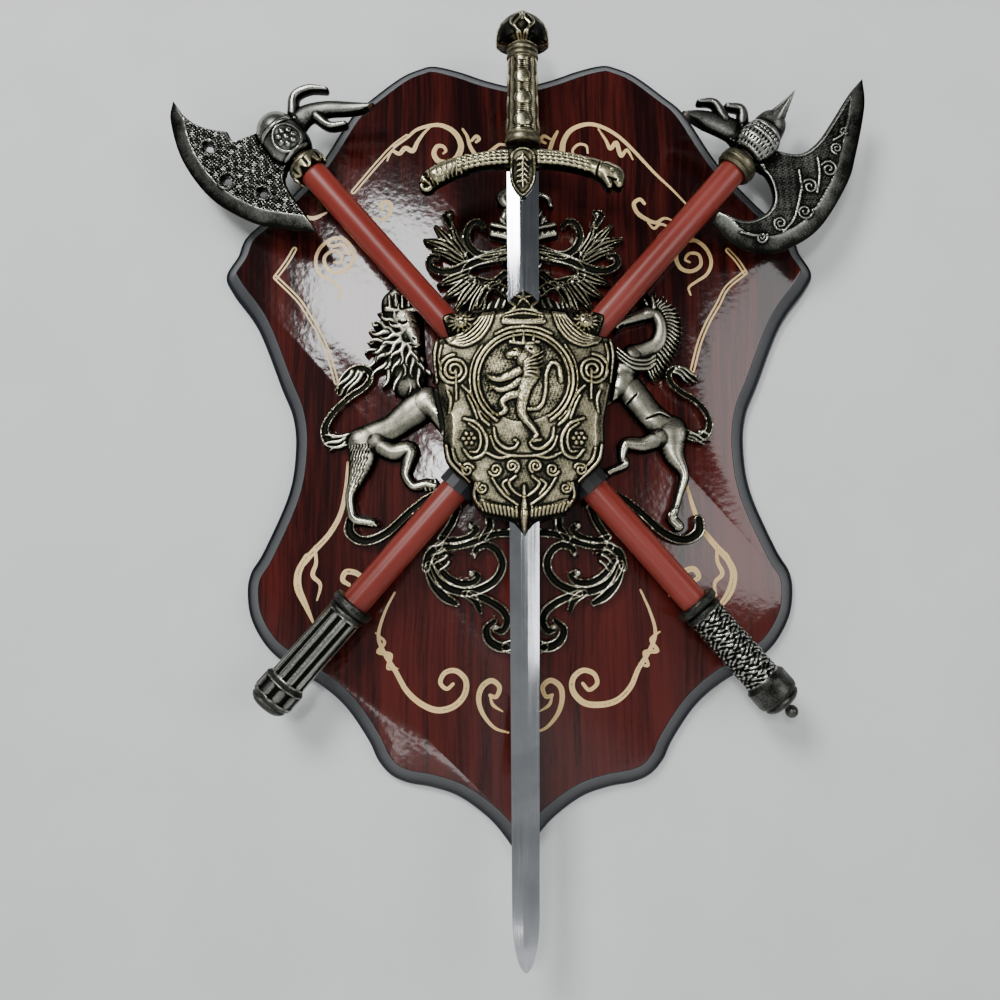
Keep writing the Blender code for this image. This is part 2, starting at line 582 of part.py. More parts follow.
def make_arms():
    """The openwork coat of arms: mantling and crest, a lion and a horse, and the scrolls they stand on."""
    unit = ARMS_HEIGHT / ARMS_STEPS
    casting = Relief((-132 * unit, -156 * unit), (124 * unit, 152 * unit), 1.5 * MM, ARMS_EDGE)
    high = ARMS_RELIEF
    casting.stroke(BACKING, unit, BACKING_SHARE * high)
    for stroke in CREST:
        casting.stroke(stroke, unit, 0.7 * high)
    for group, share in ((MANTLING, 0.7), (LOWER_SCROLLS, 0.55), (FEET_SCROLL, 0.6)):
        for stroke in group + other_side(group):
            casting.stroke(stroke, unit, share * high)
    for group, share in ((LION_TAIL, 0.5), (HORSE_TAIL, 0.5), (HORSE_MANE, 0.6), (LION_MANE, 0.75),
                         (LION_BODY, 0.95), (HORSE_BODY, 0.95), (HORSE_NECK, 0.85)):
        for stroke in group:
            casting.stroke(stroke, unit, share * high)
    for stroke in LION_FACE:
        casting.stroke(stroke, unit, 0.3 * high, 0.65 * high)
    shield = mirrored(CARTOUCHE_HALF) * CARTOUCHE_HEIGHT / CARTOUCHE_STEPS
    low = ARMS_EDGE + BACKING_SHARE * high
    covered = casting.within(shield) > -4 * MM
    clip_x = (CLIP_START - CLIP_LENGTH / 2) * math.cos(SHAFT_ANGLE)
    clip_z = (CLIP_START - CLIP_LENGTH / 2) * math.sin(SHAFT_ANGLE)
    covered |= np.hypot(np.abs(casting.x) - clip_x, casting.z + clip_z) < CLIP_RADIUS + 3 * MM
    casting.front = np.where(covered, np.minimum(casting.front, low), casting.front)
    casting.solid("arms_casting", "Pewter", lambda x, z, front: 0 * x, on_board(SEAT), 2900)


def make_cartouche():
    """The domed shield over the crossing, hollow behind, with notches in its skirt for shafts, clips and blade."""
    unit = CARTOUCHE_HEIGHT / CARTOUCHE_STEPS
    skirt = SEAT + ARMS_EDGE + BACKING_SHARE * ARMS_RELIEF + 2 * FIT
    top = POCKET_DEPTH + CARTOUCHE_WALL - skirt
    shell = Relief((-60 * unit, -82 * unit), (60 * unit, 76 * unit), 1.2 * MM, top)
    corners = mirrored(CARTOUCHE_HALF) * unit
    inside = shell.fill(corners, 0.0, 1.0 * MM)
    dome = CARTOUCHE_CROWN * np.sqrt(np.clip(1 - (shell.x / (60 * unit)) ** 2 - ((shell.z) / (88 * unit)) ** 2, 0, 1))
    shell.front += dome * np.clip(inside / (6 * MM), 0, 1)
    rise = CARTOUCHE_RELIEF
    middle = np.hypot(shell.x, shell.z - 15 * unit)
    ring = 1 - np.abs(middle / unit - SHIELD_RIM_RADIUS) / 2.4
    shell.front += 0.6 * rise * np.clip(ring, 0, 1) * (shell.z > -10 * unit)
    for stroke in RAMPANT_LION:
        shell.emboss(stroke, unit, 0.45 * rise)
    for stroke in CARTOUCHE_SCROLLS + other_side(CARTOUCHE_SCROLLS):
        shell.emboss(stroke, unit, 0.55 * rise)
    for x, z, r in CARTOUCHE_CURLS:
        for side in (-1, 1):
            shell.emboss(((side * x, z, r), (side * x, z + 0.1, r)), unit, 0.6 * rise)
    for side in (-1, 1):
        shell.emboss(((side * 41, 22, 9), (side * 41, 22.1, 9)), unit, 0.6 * rise)
        shell.emboss(((side * 38, 50, 8), (side * 34, 49, 7)), unit, 0.9 * rise)
    shell.emboss(((-13, 55, 3), (0, 57, 3.6), (13, 55, 3)), unit, 0.8 * rise)
    shell.emboss(((-11, 50, 2), (0, 51, 2.4), (11, 50, 2)), unit, 0.6 * rise)
    shell.emboss(((0, 60, 5), (0, 68, 2.4)), unit, 0.6 * rise)
    shell.emboss(((-27, -60, 2.6), (-14, -63, 2.8), (0, -68, 3), (14, -63, 2.8), (27, -60, 2.6)), unit, 0.6 * rise)
    shell.emboss(((0, -52, 1.6), (0, -66, 2.4), (0, -78, 0.8)), unit, 0.9 * rise)

    pocket = POCKET_DEPTH - skirt
    c, s = math.cos(SHAFT_ANGLE), math.sin(SHAFT_ANGLE)

    def channel(distance, radius, deep, bottom):
        room = np.sqrt(np.clip(radius**2 - distance**2, 0, None))
        return np.where(distance < radius, np.minimum(deep + room, pocket), bottom)

    def back(x, z, front):
        """The pocket behind the face, the skirt round it, and a channel for each thing that passes through it."""
        edge = inside_outline(x, z, corners)
        wall = CARTOUCHE_WALL
        behind = pocket * np.clip((edge - wall) / (1.5 * MM), 0, 1)
        deep = SHAFT_DEPTH - skirt
        for side in (-1, 1):
            off = np.abs(side * x * s - z * c)
            along = side * x * c + z * s
            radius = np.where(along < 0, CLIP_RADIUS, SHAFT_RADIUS) + NOTCH_ROOM
            behind = np.maximum(behind, channel(off, radius, deep, 0.0))
        return np.where(np.abs(x) < BLADE_WIDTH / 2 + NOTCH_ROOM, pocket, behind)

    shell.solid("cartouche", "Brass", back, on_board(skirt), 1550)


def make_shafts():
    """Two round shafts, lapped where they cross: each gives up the half that the other fills."""
    start, end = -SHAFT_LOWER, SHAFT_UPPER
    between = 2 * SHAFT_ANGLE
    half = (BORE_RADIUS + SHAFT_RADIUS * abs(math.cos(between))) / math.sin(between)
    for side, name, front in ((-1, "axe_left_shaft", 1), (1, "axe_right_shaft", -1)):
        place = along_shaft(side, SHAFT_DEPTH)
        profile = ((start, 0), (start, SHAFT_RADIUS), (end, SHAFT_RADIUS), (end, 0))
        shaft = turned(name, profile, "Shaft", place, SHAFT_SIDES)
        notch_high = 2 * SHAFT_RADIUS
        low = -FIT / 2 if front > 0 else -notch_high
        high = notch_high if front > 0 else FIT / 2
        corners = [(a, w, f) for a in (-half, half) for w in (-notch_high, notch_high) for f in (low, high)]
        corners = np.array(corners)
        points = place(corners[:, 0], corners[:, 1], corners[:, 2])
        faces = ((0, 1, 3, 2), (4, 6, 7, 5), (0, 4, 5, 1), (2, 3, 7, 6), (0, 2, 6, 4), (1, 5, 7, 3))
        cutter = add_object(name + "_lap", points, faces, "Shaft", smooth=False)
        make_outward(cutter)
        cutter.hide_render = True
        cutter.display_type = "WIRE"
        lap = shaft.modifiers.new("Lap", "BOOLEAN")
        lap.operation = "DIFFERENCE"
        lap.object = cutter


def make_head(name, side, edge, piercings, strokes, barrel, extra):
    """A cast axe head on its shaft: a blade with a thin edge, a round socket, and what stands behind it."""
    unit = HEAD_LENGTH / HEAD_STEPS
    socket = SOCKET_DIAMETER / 2
    foot = SHAFT_UPPER + FIT
    head = Relief((160 * unit, -72 * unit), (320 * unit, 72 * unit), 1.3 * MM, 0.7 * MM)
    shape = outline(edge) * unit
    head.fill(shape, 0.5 * HEAD_THICKNESS - head.edge, 13 * MM)
    for stroke in strokes:
        head.stroke(stroke, unit, 4.2 * MM)
    head.keep(np.where(head.z < 0, head.x - foot, 1.0))
    bar = ((foot + socket, 0, socket), (foot + barrel * unit, 0, 0.96 * socket))
    head.stroke([(a / unit, b, r / unit) for a, b, r in bar], unit, socket - head.edge)
    for ring in (4, 12, barrel):
        line = ((foot + ring * unit, -socket), (foot + ring * unit, socket))
        head.emboss([(a / unit, b / unit, 1.6) for a, b in line], unit, 1.2 * MM)
    for stroke, height in extra:
        head.stroke(stroke, unit, height)
    hole = np.full(head.x.shape, 1.0)
    for a, b, r in piercings:
        hole = np.minimum(hole, np.hypot(head.x - a * unit, head.z - b * unit) - r * unit)
    shaft_room = np.maximum(head.x - foot, np.abs(head.z) - BORE_RADIUS - FIT)
    head.keep(np.minimum(hole, shaft_room))
    return head.solid(name, "Gunmetal", lambda x, z, front: -front, across_shaft(side, SHAFT_DEPTH), 850)


def make_axe_fittings():
    left, right = along_shaft(-1, SHAFT_DEPTH), along_shaft(1, SHAFT_DEPTH)
    tall = BORE_RADIUS + COLLAR_WALL
    end = SHAFT_UPPER - FIT
    ring = ((end - COLLAR_LENGTH, BORE_RADIUS), (end - COLLAR_LENGTH, tall - 1.2 * MM),
            (end - 0.5 * COLLAR_LENGTH, tall), (end, tall - 0.6 * MM), (end, BORE_RADIUS))
    turned("axe_left_collar", ring, "Brass", left, 16, 8, 0.1)
    turned("axe_right_collar", ring, "Brass", right, 14)
    start = -(SHAFT_LOWER - FERRULE_BORE_DEPTH)
    floor = -(SHAFT_LOWER + FIT)
    stop = start - FERRULE_LENGTH
    wide = FERRULE_DIAMETER / 2
    big = wide + 2.2 * MM
    body = [(floor, 0), (floor, BORE_RADIUS), (start, BORE_RADIUS), (start, big), (start - 5 * MM, big),
            (start - 7 * MM, wide)]
    tail = [(stop + 19 * MM, wide), (stop + 17 * MM, big), (stop + 7 * MM, big), (stop + 3 * MM, wide)]
    turned("axe_right_butt", body + tail + [(stop, 0.72 * wide), (stop, 0)], "Gunmetal", right, 16, 8, 0.06)
    knob = KNOB_DIAMETER / 2
    neck = stop - 1.5 * MM
    ball = [(neck - knob + knob * math.cos(t), knob * math.sin(t)) for t in np.linspace(0.6, 2.6, 5)]
    turned("axe_left_butt", body + tail + [(stop, 0.72 * wide), (neck, 0.45 * knob)] + ball
           + [(neck - 2 * knob, 0)], "Gunmetal", left, 12)
    for side, name in ((-1, "shaft_clip_right"), (1, "shaft_clip_left")):
        far = -CLIP_START
        near = far + CLIP_LENGTH
        shape = ((far, BORE_RADIUS), (far, CLIP_RADIUS), (near, CLIP_RADIUS), (near, BORE_RADIUS))
        turned(name, shape, "Clip", along_shaft(side, SHAFT_DEPTH), 12)


def make_blade():
    """A six-sided blade: two bevels and a narrow flat on each face, tapering to a rounded point."""
    tip = -BLADE_BELOW
    shoulder = tip + BLADE_POINT
    levels = [(BLADE_TOP, 1.0), (shoulder, BLADE_TIP_WIDTH / BLADE_WIDTH)]
    for share in (0.25, 0.5, 0.75, 0.92):
        width = BLADE_TIP_WIDTH / BLADE_WIDTH * math.sqrt(1 - share**2)
        levels.append((shoulder + (tip - shoulder) * share, width))
    levels.append((tip, 0.12))
    points = []
    for z, share in levels:
        w = BLADE_WIDTH / 2 * share
        flat = BLADE_FLAT / 2 * share
        t = BLADE_THICKNESS / 2 * min(1.0, share + 0.35)
        e = BLADE_EDGE / 2
        for x, y in ((-w, e), (-flat, t), (flat, t), (w, e), (w, -e), (flat, -t), (-flat, -t), (-w, -e)):
            points.append((x, -(BLADE_DEPTH + y), z))
    faces = []
    for i in range(len(levels) - 1):
        for j in range(8):
            k = (j + 1) % 8
            faces.append((i * 8 + j, i * 8 + k, (i + 1) * 8 + k, (i + 1) * 8 + j))
    faces.append(list(reversed(range(8))))
    faces.append([(len(levels) - 1) * 8 + j for j in range(8)])
    blade = add_object("sword_blade", points, faces, "Steel")
    make_outward(blade)


def make_hilt():
    """The cast guard, with a recess behind its langet for the blade, then the grip and the pommel on it."""
    unit = GUARD_SPAN / GUARD_STEPS
    guard = Relief((-68 * unit, GUARD_LEVEL - 26 * unit), (68 * unit, GUARD_LEVEL + 16 * unit), 1.1 * MM, 0.8 * MM)
    level = GUARD_LEVEL / unit

    def raised(stroke):
        return [(x, z + level, r) for x, z, r in stroke]

    arms = (GUARD_ARM, other_side((GUARD_ARM,))[0], LEFT_END, RIGHT_END, RIGHT_JAW)
    for stroke in arms:
        guard.stroke(raised(stroke), unit, 5.6 * MM)
    for i in range(3):
        x = -47 - 4 * i
        guard.emboss(raised(((x - 3, -14 - i, 0.9), (x + 1, 5 - i, 0.9))), unit, 0.8 * MM)
    guard.stroke(raised(LANGET), unit, 3.0 * MM, 2.4 * MM)
    guard.keep(GUARD_LEVEL + 12.5 * unit - guard.z)
    room = BLADE_THICKNESS / 2 + 2 * FIT

    def back(x, z, front):
        slot = (np.abs(x) < BLADE_WIDTH / 2 + NOTCH_ROOM) & (z < BLADE_TOP + NOTCH_ROOM)
        return np.where(slot, room, -front)

    guard.front = np.where((np.abs(guard.x) < BLADE_WIDTH / 2 + 2 * MM), np.maximum(guard.front, room + 1.2 * MM),
                           guard.front)
    guard.rim = np.where((np.abs(guard.x) < BLADE_WIDTH / 2 + 2 * MM), room + 1.2 * MM, guard.rim)
    guard.solid("sword_guard", "Brass", back, on_board(BLADE_DEPTH), 600)

    low, high = GRIP_FOOT, GRIP_TOP
    w = GRIP_WIDTH / 2
    grip = [(low, 0), (low, w), (low + 0.05 * GRIP_LENGTH, 1.08 * w), (low + 0.1 * GRIP_LENGTH, w)]
    for i in range(9):
        share = i / 8
        grip.append((low + (0.14 + 0.74 * share) * GRIP_LENGTH, w * (1 - 0.16 * share) * (1 if i % 2 else 0.94)))
    grip += [(high - 0.07 * GRIP_LENGTH, 0.95 * w), (high - FIT, 0.88 * w), (high - FIT, 0)]
    turned("sword_grip", grip, "Brass", upright(BLADE_DEPTH), 12)

    wide = POMMEL_WIDTH / 2
    tall = POMMEL_HEIGHT
    rows = ((0, 0), (0, 0.55), (0.12, 0.6), (0.2, 0.92), (0.34, 1.0), (0.55, 0.94), (0.7, 0.78), (0.78, 0.55),
            (0.82, 0.36), (0.92, 0.4), (0.98, 0.3), (1, 0))
    pommel = [(high + a * tall, r * wide) for a, r in rows]
    turned("sword_pommel", pommel, "Brass", upright(BLADE_DEPTH), 18, 6, 0.1)


def main():
    clear_scene()
    make_board()
    make_arms()
    make_cartouche()
    make_shafts()
    make_head("axe_left_head", -1, LEFT_EDGE, LEFT_PIERCINGS, LEFT_BEAK, 26, ())
    make_head("axe_right_head", 1, RIGHT_EDGE, (), RIGHT_DRAGON, 17, ((RIGHT_SPIKE, 9 * MM),))
    make_axe_fittings()
    make_blade()
    make_hilt()


main()
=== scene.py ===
"""Looks of a wall plaque: a lacquered board with printed scrolls, a cast coat of arms, a sword and two axes.

Everything is drawn in millimetres and put into the meshes in metres. X is across the plaque, Z is up and the face
looks along -Y. Castings are height fields on a square grid, cut off at their outline. Round pieces are profiles
turned about an axis. A stroke is a row of points (across, up, half-width) joined by a smooth line.
"""

import math

import bpy
import numpy as np
from mathutils import Matrix, Vector


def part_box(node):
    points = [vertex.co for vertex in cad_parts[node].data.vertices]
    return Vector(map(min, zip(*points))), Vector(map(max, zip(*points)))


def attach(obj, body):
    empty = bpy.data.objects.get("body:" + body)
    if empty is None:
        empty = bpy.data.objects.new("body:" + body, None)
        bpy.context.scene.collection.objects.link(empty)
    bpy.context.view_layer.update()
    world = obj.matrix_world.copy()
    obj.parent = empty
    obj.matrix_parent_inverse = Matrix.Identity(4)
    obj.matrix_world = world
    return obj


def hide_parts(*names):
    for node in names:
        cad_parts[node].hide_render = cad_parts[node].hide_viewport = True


bl_info = {
    "name": "Wall plaque with sword and axes",
    "version": (1, 0, 0),
    "blender": (4, 5, 0),
    "location": "3D View > Sidebar > Plaque",
    "description": "Dresses the plaque's frame with its castings, finishes, prints and stage",
    "category": "Object",
}

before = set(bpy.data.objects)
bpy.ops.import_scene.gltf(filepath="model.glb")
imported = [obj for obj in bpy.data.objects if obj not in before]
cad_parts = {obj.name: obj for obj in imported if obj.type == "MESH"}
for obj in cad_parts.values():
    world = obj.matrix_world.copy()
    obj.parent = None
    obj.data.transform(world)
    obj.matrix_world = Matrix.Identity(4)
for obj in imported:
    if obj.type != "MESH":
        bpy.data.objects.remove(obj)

MM = 0.001
SHAFT_ANGLE = math.radians(49)
FIT = 0.3
NOTCH_ROOM = 1.8


def depth_of(node, share=0.5):
    """How far in front of the wall a node is, in mm: its back at share 0, its front at share 1."""
    low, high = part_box(node)
    return (-high.y + share * (high.y - low.y)) / MM


BOARD_FACE = depth_of("board", 1.0)
SEAT = depth_of("arms_casting", 0.0)
SHAFT_DEPTH = depth_of("axe_left_shaft")
SHAFT_RADIUS = depth_of("axe_left_shaft", 1.0) - SHAFT_DEPTH
BORE_RADIUS = SHAFT_RADIUS + FIT
SHAFT_UPPER = 214.0
SHAFT_LOWER = 166.0
HEAD_FOOT = SHAFT_UPPER + FIT
SOCKET_RADIUS = 14.0
BEAK_RELIEF = 4.2
COLLAR_LENGTH, COLLAR_WALL = 9.0, 3.6
FERRULE_BORE = 8.0
BUTT_LENGTH, BUTT_RADIUS, BEAD_RISE = 82.0, 11.5, 2.2
KNOB_RADIUS, NECK_LENGTH = 4.0, 1.5
CLIP_MIDDLE, CLIP_WALL, CLIP_ROOM = 61.5, 2.4, 14.7
BLADE_DEPTH = depth_of("sword_blade")
SHELL_BACK = depth_of("cartouche", 0.0)
POCKET_DEPTH = depth_of("sword_blade", 1.0) + FIT
SHELL_WALL = 3.2
SHELL_TOP = POCKET_DEPTH + SHELL_WALL - SHELL_BACK
ARMS_EDGE = 2.2

# The board's half outline, from the dip at the top to the tip, with 1 after each sharp turn.
BOARD_SHIFT = -3
BOARD_HALF = (
    (0, 228, 0), (20, 232, 0), (40, 239, 0), (57, 243, 0), (67, 241, 0), (80, 235, 0), (98, 221, 0),
    (113, 207, 0), (134, 173, 0), (160, 143, 0), (181, 124, 0), (187, 110, 1), (194.5, 96, 0), (189, 83, 0),
    (172, 59, 0), (156, 20, 0), (148, 0, 0), (146, -22, 0), (150, -50, 0), (165, -86, 0), (173, -100, 0),
    (175, -113, 0), (172, -130, 0), (162, -147, 0), (148, -159, 0), (126, -172, 0), (110, -186, 0),
    (96, -206, 0), (90, -218, 0), (82, -227, 0), (71, -232, 0), (55, -235, 0), (38, -241, 0), (20, -254, 0),
    (8, -268, 0), (0, -281, 1),
)

# Printed scrolls on the board: each line is points, then the half-width at its start, middle and end.
PRINT_BANDS = (
    (((-86, 181), (-77, 187), (-70, 193), (-58, 196), (-50, 194), (-44, 189), (-41, 181), (-44, 173), (-50, 170),
      (-56, 171), (-59, 176), (-57, 181), (-53, 181), (-51, 178), (-53, 176)), 0.5, 2.0, 0.6),
    (((108, 140), (98, 151), (88, 161), (80, 170), (73, 178), (64, 187), (55, 193), (46, 196), (38, 195),
      (31, 191), (27, 184), (26, 177)), 0.6, 1.2, 2.0),
    (((43, 176), (42, 181), (37, 182), (33, 178), (34, 174)), 0.6, 0.9, 0.6),
    (((-61, 195), (-66, 190), (-70, 184), (-73, 178), (-78, 180), (-82, 176), (-87, 178), (-90, 171)), 0.5, 1.6, 0.5),
    (((50, 193), (55, 185), (58, 179), (62, 183), (65, 174), (69, 178), (73, 171)), 0.5, 1.5, 0.5),
    (((-40, 193), (-37, 188), (-35, 181), (-31, 175), (-26, 175), (-21, 178), (-16, 182), (-12, 182)), 0.7, 1.4, 0.7),
    (((-38, 175), (-31, 174), (-23, 175), (-13, 177)), 0.6, 1.3, 0.5),
    (((-34, 185), (-31, 188), (-29, 186), (-31, 184)), 0.9, 1.2, 0.9),
    (((23, 191), (20, 185), (18, 179), (16, 177)), 0.9, 1.5, 0.9),
    (((18, 186), (14, 188), (12, 185), (15, 183)), 0.8, 1.2, 0.8),
    (((-97, 132), (-92, 131), (-88, 135), (-87, 140), (-90, 143), (-94, 141), (-92, 138)), 0.6, 1.5, 1.0),
    (((99, 129), (93, 131), (87, 128), (80, 131), (75, 135), (73, 141), (77, 144), (80, 141)), 0.5, 1.4, 1.0),
    (((96, 125), (90, 127), (86, 124), (82, 128)), 0.6, 1.0, 0.5),
    (((-145, 134), (-138, 132), (-129, 136)), 0.5, 1.4, 0.5),
    (((-121, 77), (-119, 83), (-124, 89), (-133, 94), (-136, 103), (-133, 112), (-125, 118), (-117, 117),
      (-111, 108), (-114, 99), (-122, 95), (-129, 99), (-130, 106), (-124, 110), (-119, 107), (-120, 102),
      (-124, 102)), 0.6, 1.3, 0.7),
    (((-125, 118), (-128, 114), (-124, 113), (-119, 114), (-114, 108)), 0.6, 1.0, 1.4),
    (((109, 79), (108, 84), (113, 88), (120, 93), (123, 101), (120, 110), (112, 116), (104, 113), (100, 105),
      (103, 97), (110, 95), (116, 99), (115, 106), (109, 107), (106, 103), (109, 101)), 0.6, 1.4, 0.7),
    (((-113, -30), (-114, -47), (-117, -63), (-124, -76), (-133, -86), (-140, -94)), 0.6, 1.6, 2.2),
    (((103, -42), (107, -58), (112, -72), (120, -83), (128, -92)), 0.6, 1.6, 2.2),
    (((-138, -90), (-143, -100), (-143, -110), (-138, -121), (-132, -134)), 1.8, 2.4, 0.5),
    (((127, -90), (132, -101), (130, -112), (124, -121), (116, -127)), 1.8, 2.4, 0.5),
    (((-133, -84), (-132, -94), (-134, -102), (-129, -108), (-131, -118)), 0.8, 1.4, 0.5),
    (((122, -84), (122, -94), (125, -102), (120, -108), (121, -117)), 0.8, 1.4, 0.5),
    (((-99, -116), (-100, -107), (-106, -101), (-113, -100), (-115, -105), (-111, -108)), 0.6, 1.8, 1.2),
    (((91, -116), (95, -106), (100, -101), (107, -99), (110, -104), (106, -107)), 0.6, 1.8, 1.2),
    (((-82, -113), (-88, -125), (-92, -140), (-88, -151), (-81, -162), (-74, -174), (-65, -182), (-55, -186),
      (-45, -184), (-38, -177), (-37, -168), (-43, -162), (-50, -163), (-53, -169), (-49, -173), (-45, -170)),
     0.6, 1.9, 1.0),
    (((73, -112), (79, -126), (82, -139), (78, -150), (71, -161), (66, -172), (58, -180), (48, -183), (37, -182),
      (30, -175), (30, -167), (36, -162), (43, -164), (45, -170), (40, -174), (36, -170)), 0.6, 1.9, 1.0),
    (((-94, -138), (-88, -144), (-92, -150), (-84, -152), (-86, -160), (-79, -160)), 0.5, 1.3, 0.5),
    (((85, -138), (79, -143), (83, -150), (75, -151), (77, -159), (71, -158)), 0.5, 1.3, 0.5),
    (((-10, -200), (-19, -197), (-26, -189), (-29, -180), (-27, -172), (-21, -168), (-16, -172), (-18, -178),
      (-22, -177)), 0.5, 1.7, 1.0),
    (((5, -200), (13, -197), (20, -189), (23, -180), (22, -172), (16, -168), (11, -172), (13, -178), (17, -177)),
     0.5, 1.7, 1.0),
    (((-14, -187), (-20, -183), (-22, -177)), 0.4, 1.0, 0.6),
    (((9, -187), (15, -183), (17, -177)), 0.4, 1.0, 0.6),
)
DOUBLE_HALF, DOUBLE_GAP_SHARE = 1.7, 0.34
PRINT_DOUBLES = (
    ((-77, 188), (-86, 181), (-95, 171), (-104, 160), (-112, 150)),
    ((-150, 111), (-155, 102), (-162, 92)),
    ((-162, 92), (-147, 77), (-139, 65), (-132, 53), (-126, 39), (-121, 22)),
    ((134, 109), (140, 102), (145, 94)),
    ((145, 94), (133, 84), (127, 73), (120, 61), (114, 47), (109, 29)),
)

# The coat of arms, drawn from the crossing of the shafts, one step to the mm.
BACKING = ((0, 40, 40), (0, -20, 42), (0, -42, 30))
FAN_LEAVES = (
    ((-39, 103, 4), (-52, 112, 4.4), (-64, 115, 1.6)),
    ((-40, 105, 4), (-49, 115, 4.4), (-57, 124, 1.8)),
    ((-39, 107, 3.6), (-45, 117, 3.8), (-47, 128, 1.8)),
    ((-41, 101, 3.6), (-50, 106, 3.8), (-58, 108, 2)),
    ((-37, 92, 4), (-47, 88, 4), (-55, 85, 1.6)),
    ((-35, 88, 4), (-44, 81, 4.2), (-51, 76, 1.6)),
    ((-31, 86, 4), (-38, 77, 4.4), (-44, 68, 2)),
    ((-24, 84, 4), (-30, 74, 4.6), (-35, 62, 3)),
)
MANTLING_BANDS = (
    ((-9, 109, 3.2), (-24, 104, 3.3), (-33, 108, 3.1), (-37, 116, 2.9), (-35, 124, 2.6), (-30, 127, 2.4),
     (-26, 124, 2.2)),
    ((-9, 106, 3.6), (-26, 102, 3.6), (-38, 97, 3.5), (-46, 94, 3.3), (-55, 94, 3), (-61, 98, 2.8), (-60, 103, 2.6),
     (-56, 103, 2.2)),
    ((-10, 104, 3.2), (-30, 100, 3.3), (-37, 95, 3), (-37, 89, 2.8), (-33, 88, 2.6)),
    ((-47, 124, 2.4), (-51, 131, 2.6), (-47, 133, 1.8)),
    ((-9, 78, 3.4), (-18, 84, 3.2), (-25, 80, 3), (-28, 70, 3.4)),
    ((-12, 92, 3), (-20, 86, 3), (-30, 88, 3)),
)
MANTLING_BALLS = ((-31, 122, 2.6), (-57.5, 101, 2.6), (-33.5, 89.5, 2.8), (-48, 131.5, 2.2), (-22, 82, 2.4))
CREST = (
    ((0, 104, 9), (0, 100, 13)),
    ((-20, 119, 3), (0, 116, 4), (20, 119, 3)),
    ((-20, 125, 2.4), (0, 122, 4), (20, 125, 2.4)),
    ((0, 84, 9), (0, 60, 14)),
    ((-14, 127, 3), (-8, 136, 4), (6, 137, 4), (14, 127, 3)),
    ((4, 138, 3), (9, 145, 2.4), (16, 143, 2.2), (18, 138, 2)),
    ((-8, 136, 4), (-13, 143, 5), (-11, 147, 3)),
)
LOWER_BANDS = (
    ((-32, -90, 2.2), (-29, -85, 2.6), (-22, -84, 2.9), (-16, -89, 3.1), (-14, -97, 3.2), (-18, -105, 3.3),
     (-25, -110, 3.4), (-35, -113, 3.4), (-46, -111, 3.4), (-55, -105, 3.2), (-60, -96, 3)),
    ((-33, -101, 2.6), (-29, -103, 2.4), (-33, -107, 2.7), (-42, -107, 2.8), (-50, -102, 2.7), (-56, -94, 2.4)),
    ((-61, -98, 2.6), (-57, -108, 3.4), (-50, -116, 3.6), (-43, -120, 2.2)),
    ((-37, -114, 2.8), (-31, -118, 3), (-28, -125, 1.8)),
    ((-34, -114, 2.8), (-23, -118, 3), (-14, -124, 3.2), (-11, -131, 3), (-14, -137, 2.8), (-18, -136, 2.6)),
    ((-19, -131, 2), (-24, -136, 3), (-22, -143, 3.6), (-15, -147, 3.8), (-7, -145, 3.6), (0, -140, 3.6)),
    ((-12, -147, 3), (-6, -151, 2)),
    ((0, -76, 3.6), (-10, -76, 3), (-20, -77, 2.8), (-30, -81, 2.8), (-42, -84, 3), (-54, -85, 2.6)),
    ((-34, -71, 2.6), (-30, -74, 2.4), (-36, -79, 2.6), (-45, -81, 2.6), (-53, -79, 2.2)),
    ((-54, -84, 3), (-60, -90, 3.6), (-62, -98, 3)),
    ((-54, -88, 2), (-46, -90, 1.6)),
    ((-22, -64, 3), (-22, -72, 3), (-27, -80, 2.4)),
    ((-42, -60, 3), (-46, -70, 3), (-52, -79, 3)),
)
LOWER_BALLS = ((-33.5, -101, 3), (-34, -71, 2.8), (-18, -134.5, 2.6), (-31.5, -89.5, 2.2))
FEET_SCROLL = ((-110, -68, 3.4), (-110, -75, 4), (-104, -80, 3.6), (-96, -80, 3.4), (-86, -75, 3.2), (-72, -62, 2.8),
               (-60, -53, 2.6), (-46, -48, 3))
LION_BODY = (
    ((-62, 8, 11), (-72, 1, 10.5), (-84, -8, 9), (-95, -13, 9), (-103, -18, 10.5)),
    ((-103, -18, 10), (-103, -30, 8.5), (-107, -43, 5.2), (-110, -52, 3.6), (-109, -62, 3.4), (-106, -67, 3.8),
     (-96, -69, 3.4)),
    ((-94, -18, 7), (-84, -24, 6.5), (-73, -23, 6.2), (-74, -32, 4.6), (-75, -39, 3.9), (-70, -46, 3.8),
     (-62, -45, 4.2), (-56, -46, 3.4)),
    ((-62, 8, 9), (-54, -1, 6.6), (-47, -12, 5.4), (-42, -22, 4.6)),
)
LION_TAIL = ((-106, -14, 4.4), (-116, -17, 4.2), (-124, -17, 4.2), (-127, -9, 3), (-122, 1, 2.6), (-112, 11, 2.6),
             (-102, 18, 2.6), (-98, 25, 2.6), (-102, 30, 2.8), (-109, 29, 3.2), (-115, 22, 4), (-118, 14, 2))
LION_MANE = (
    ((-78, 58, 13), (-78, 40, 14), (-74, 22, 12)),
    ((-84, 66, 8), (-86, 74, 6), (-82, 79, 5)),
)
HORSE_BODY = (
    ((62, 22, 9), (69, 14, 10), (79, 1, 9.4), (88, -8, 10), (94, -12, 11)),
    ((94, -14, 10.5), (95, -26, 7.6), (100, -36, 4.6), (101, -42, 3.8), (98, -52, 3), (95, -62, 3),
     (93, -67, 4), (97, -72, 4)),
    ((86, -16, 7), (76, -20, 5.6), (65, -20, 4.8), (62, -28, 3.6), (64, -33, 3.4), (55, -37, 3.2),
     (49, -41, 3.4), (47, -46, 3.2)),
    ((70, 36, 8), (64, 26, 9), (60, 18, 8), (50, 10, 6), (36, 2, 5)),
)
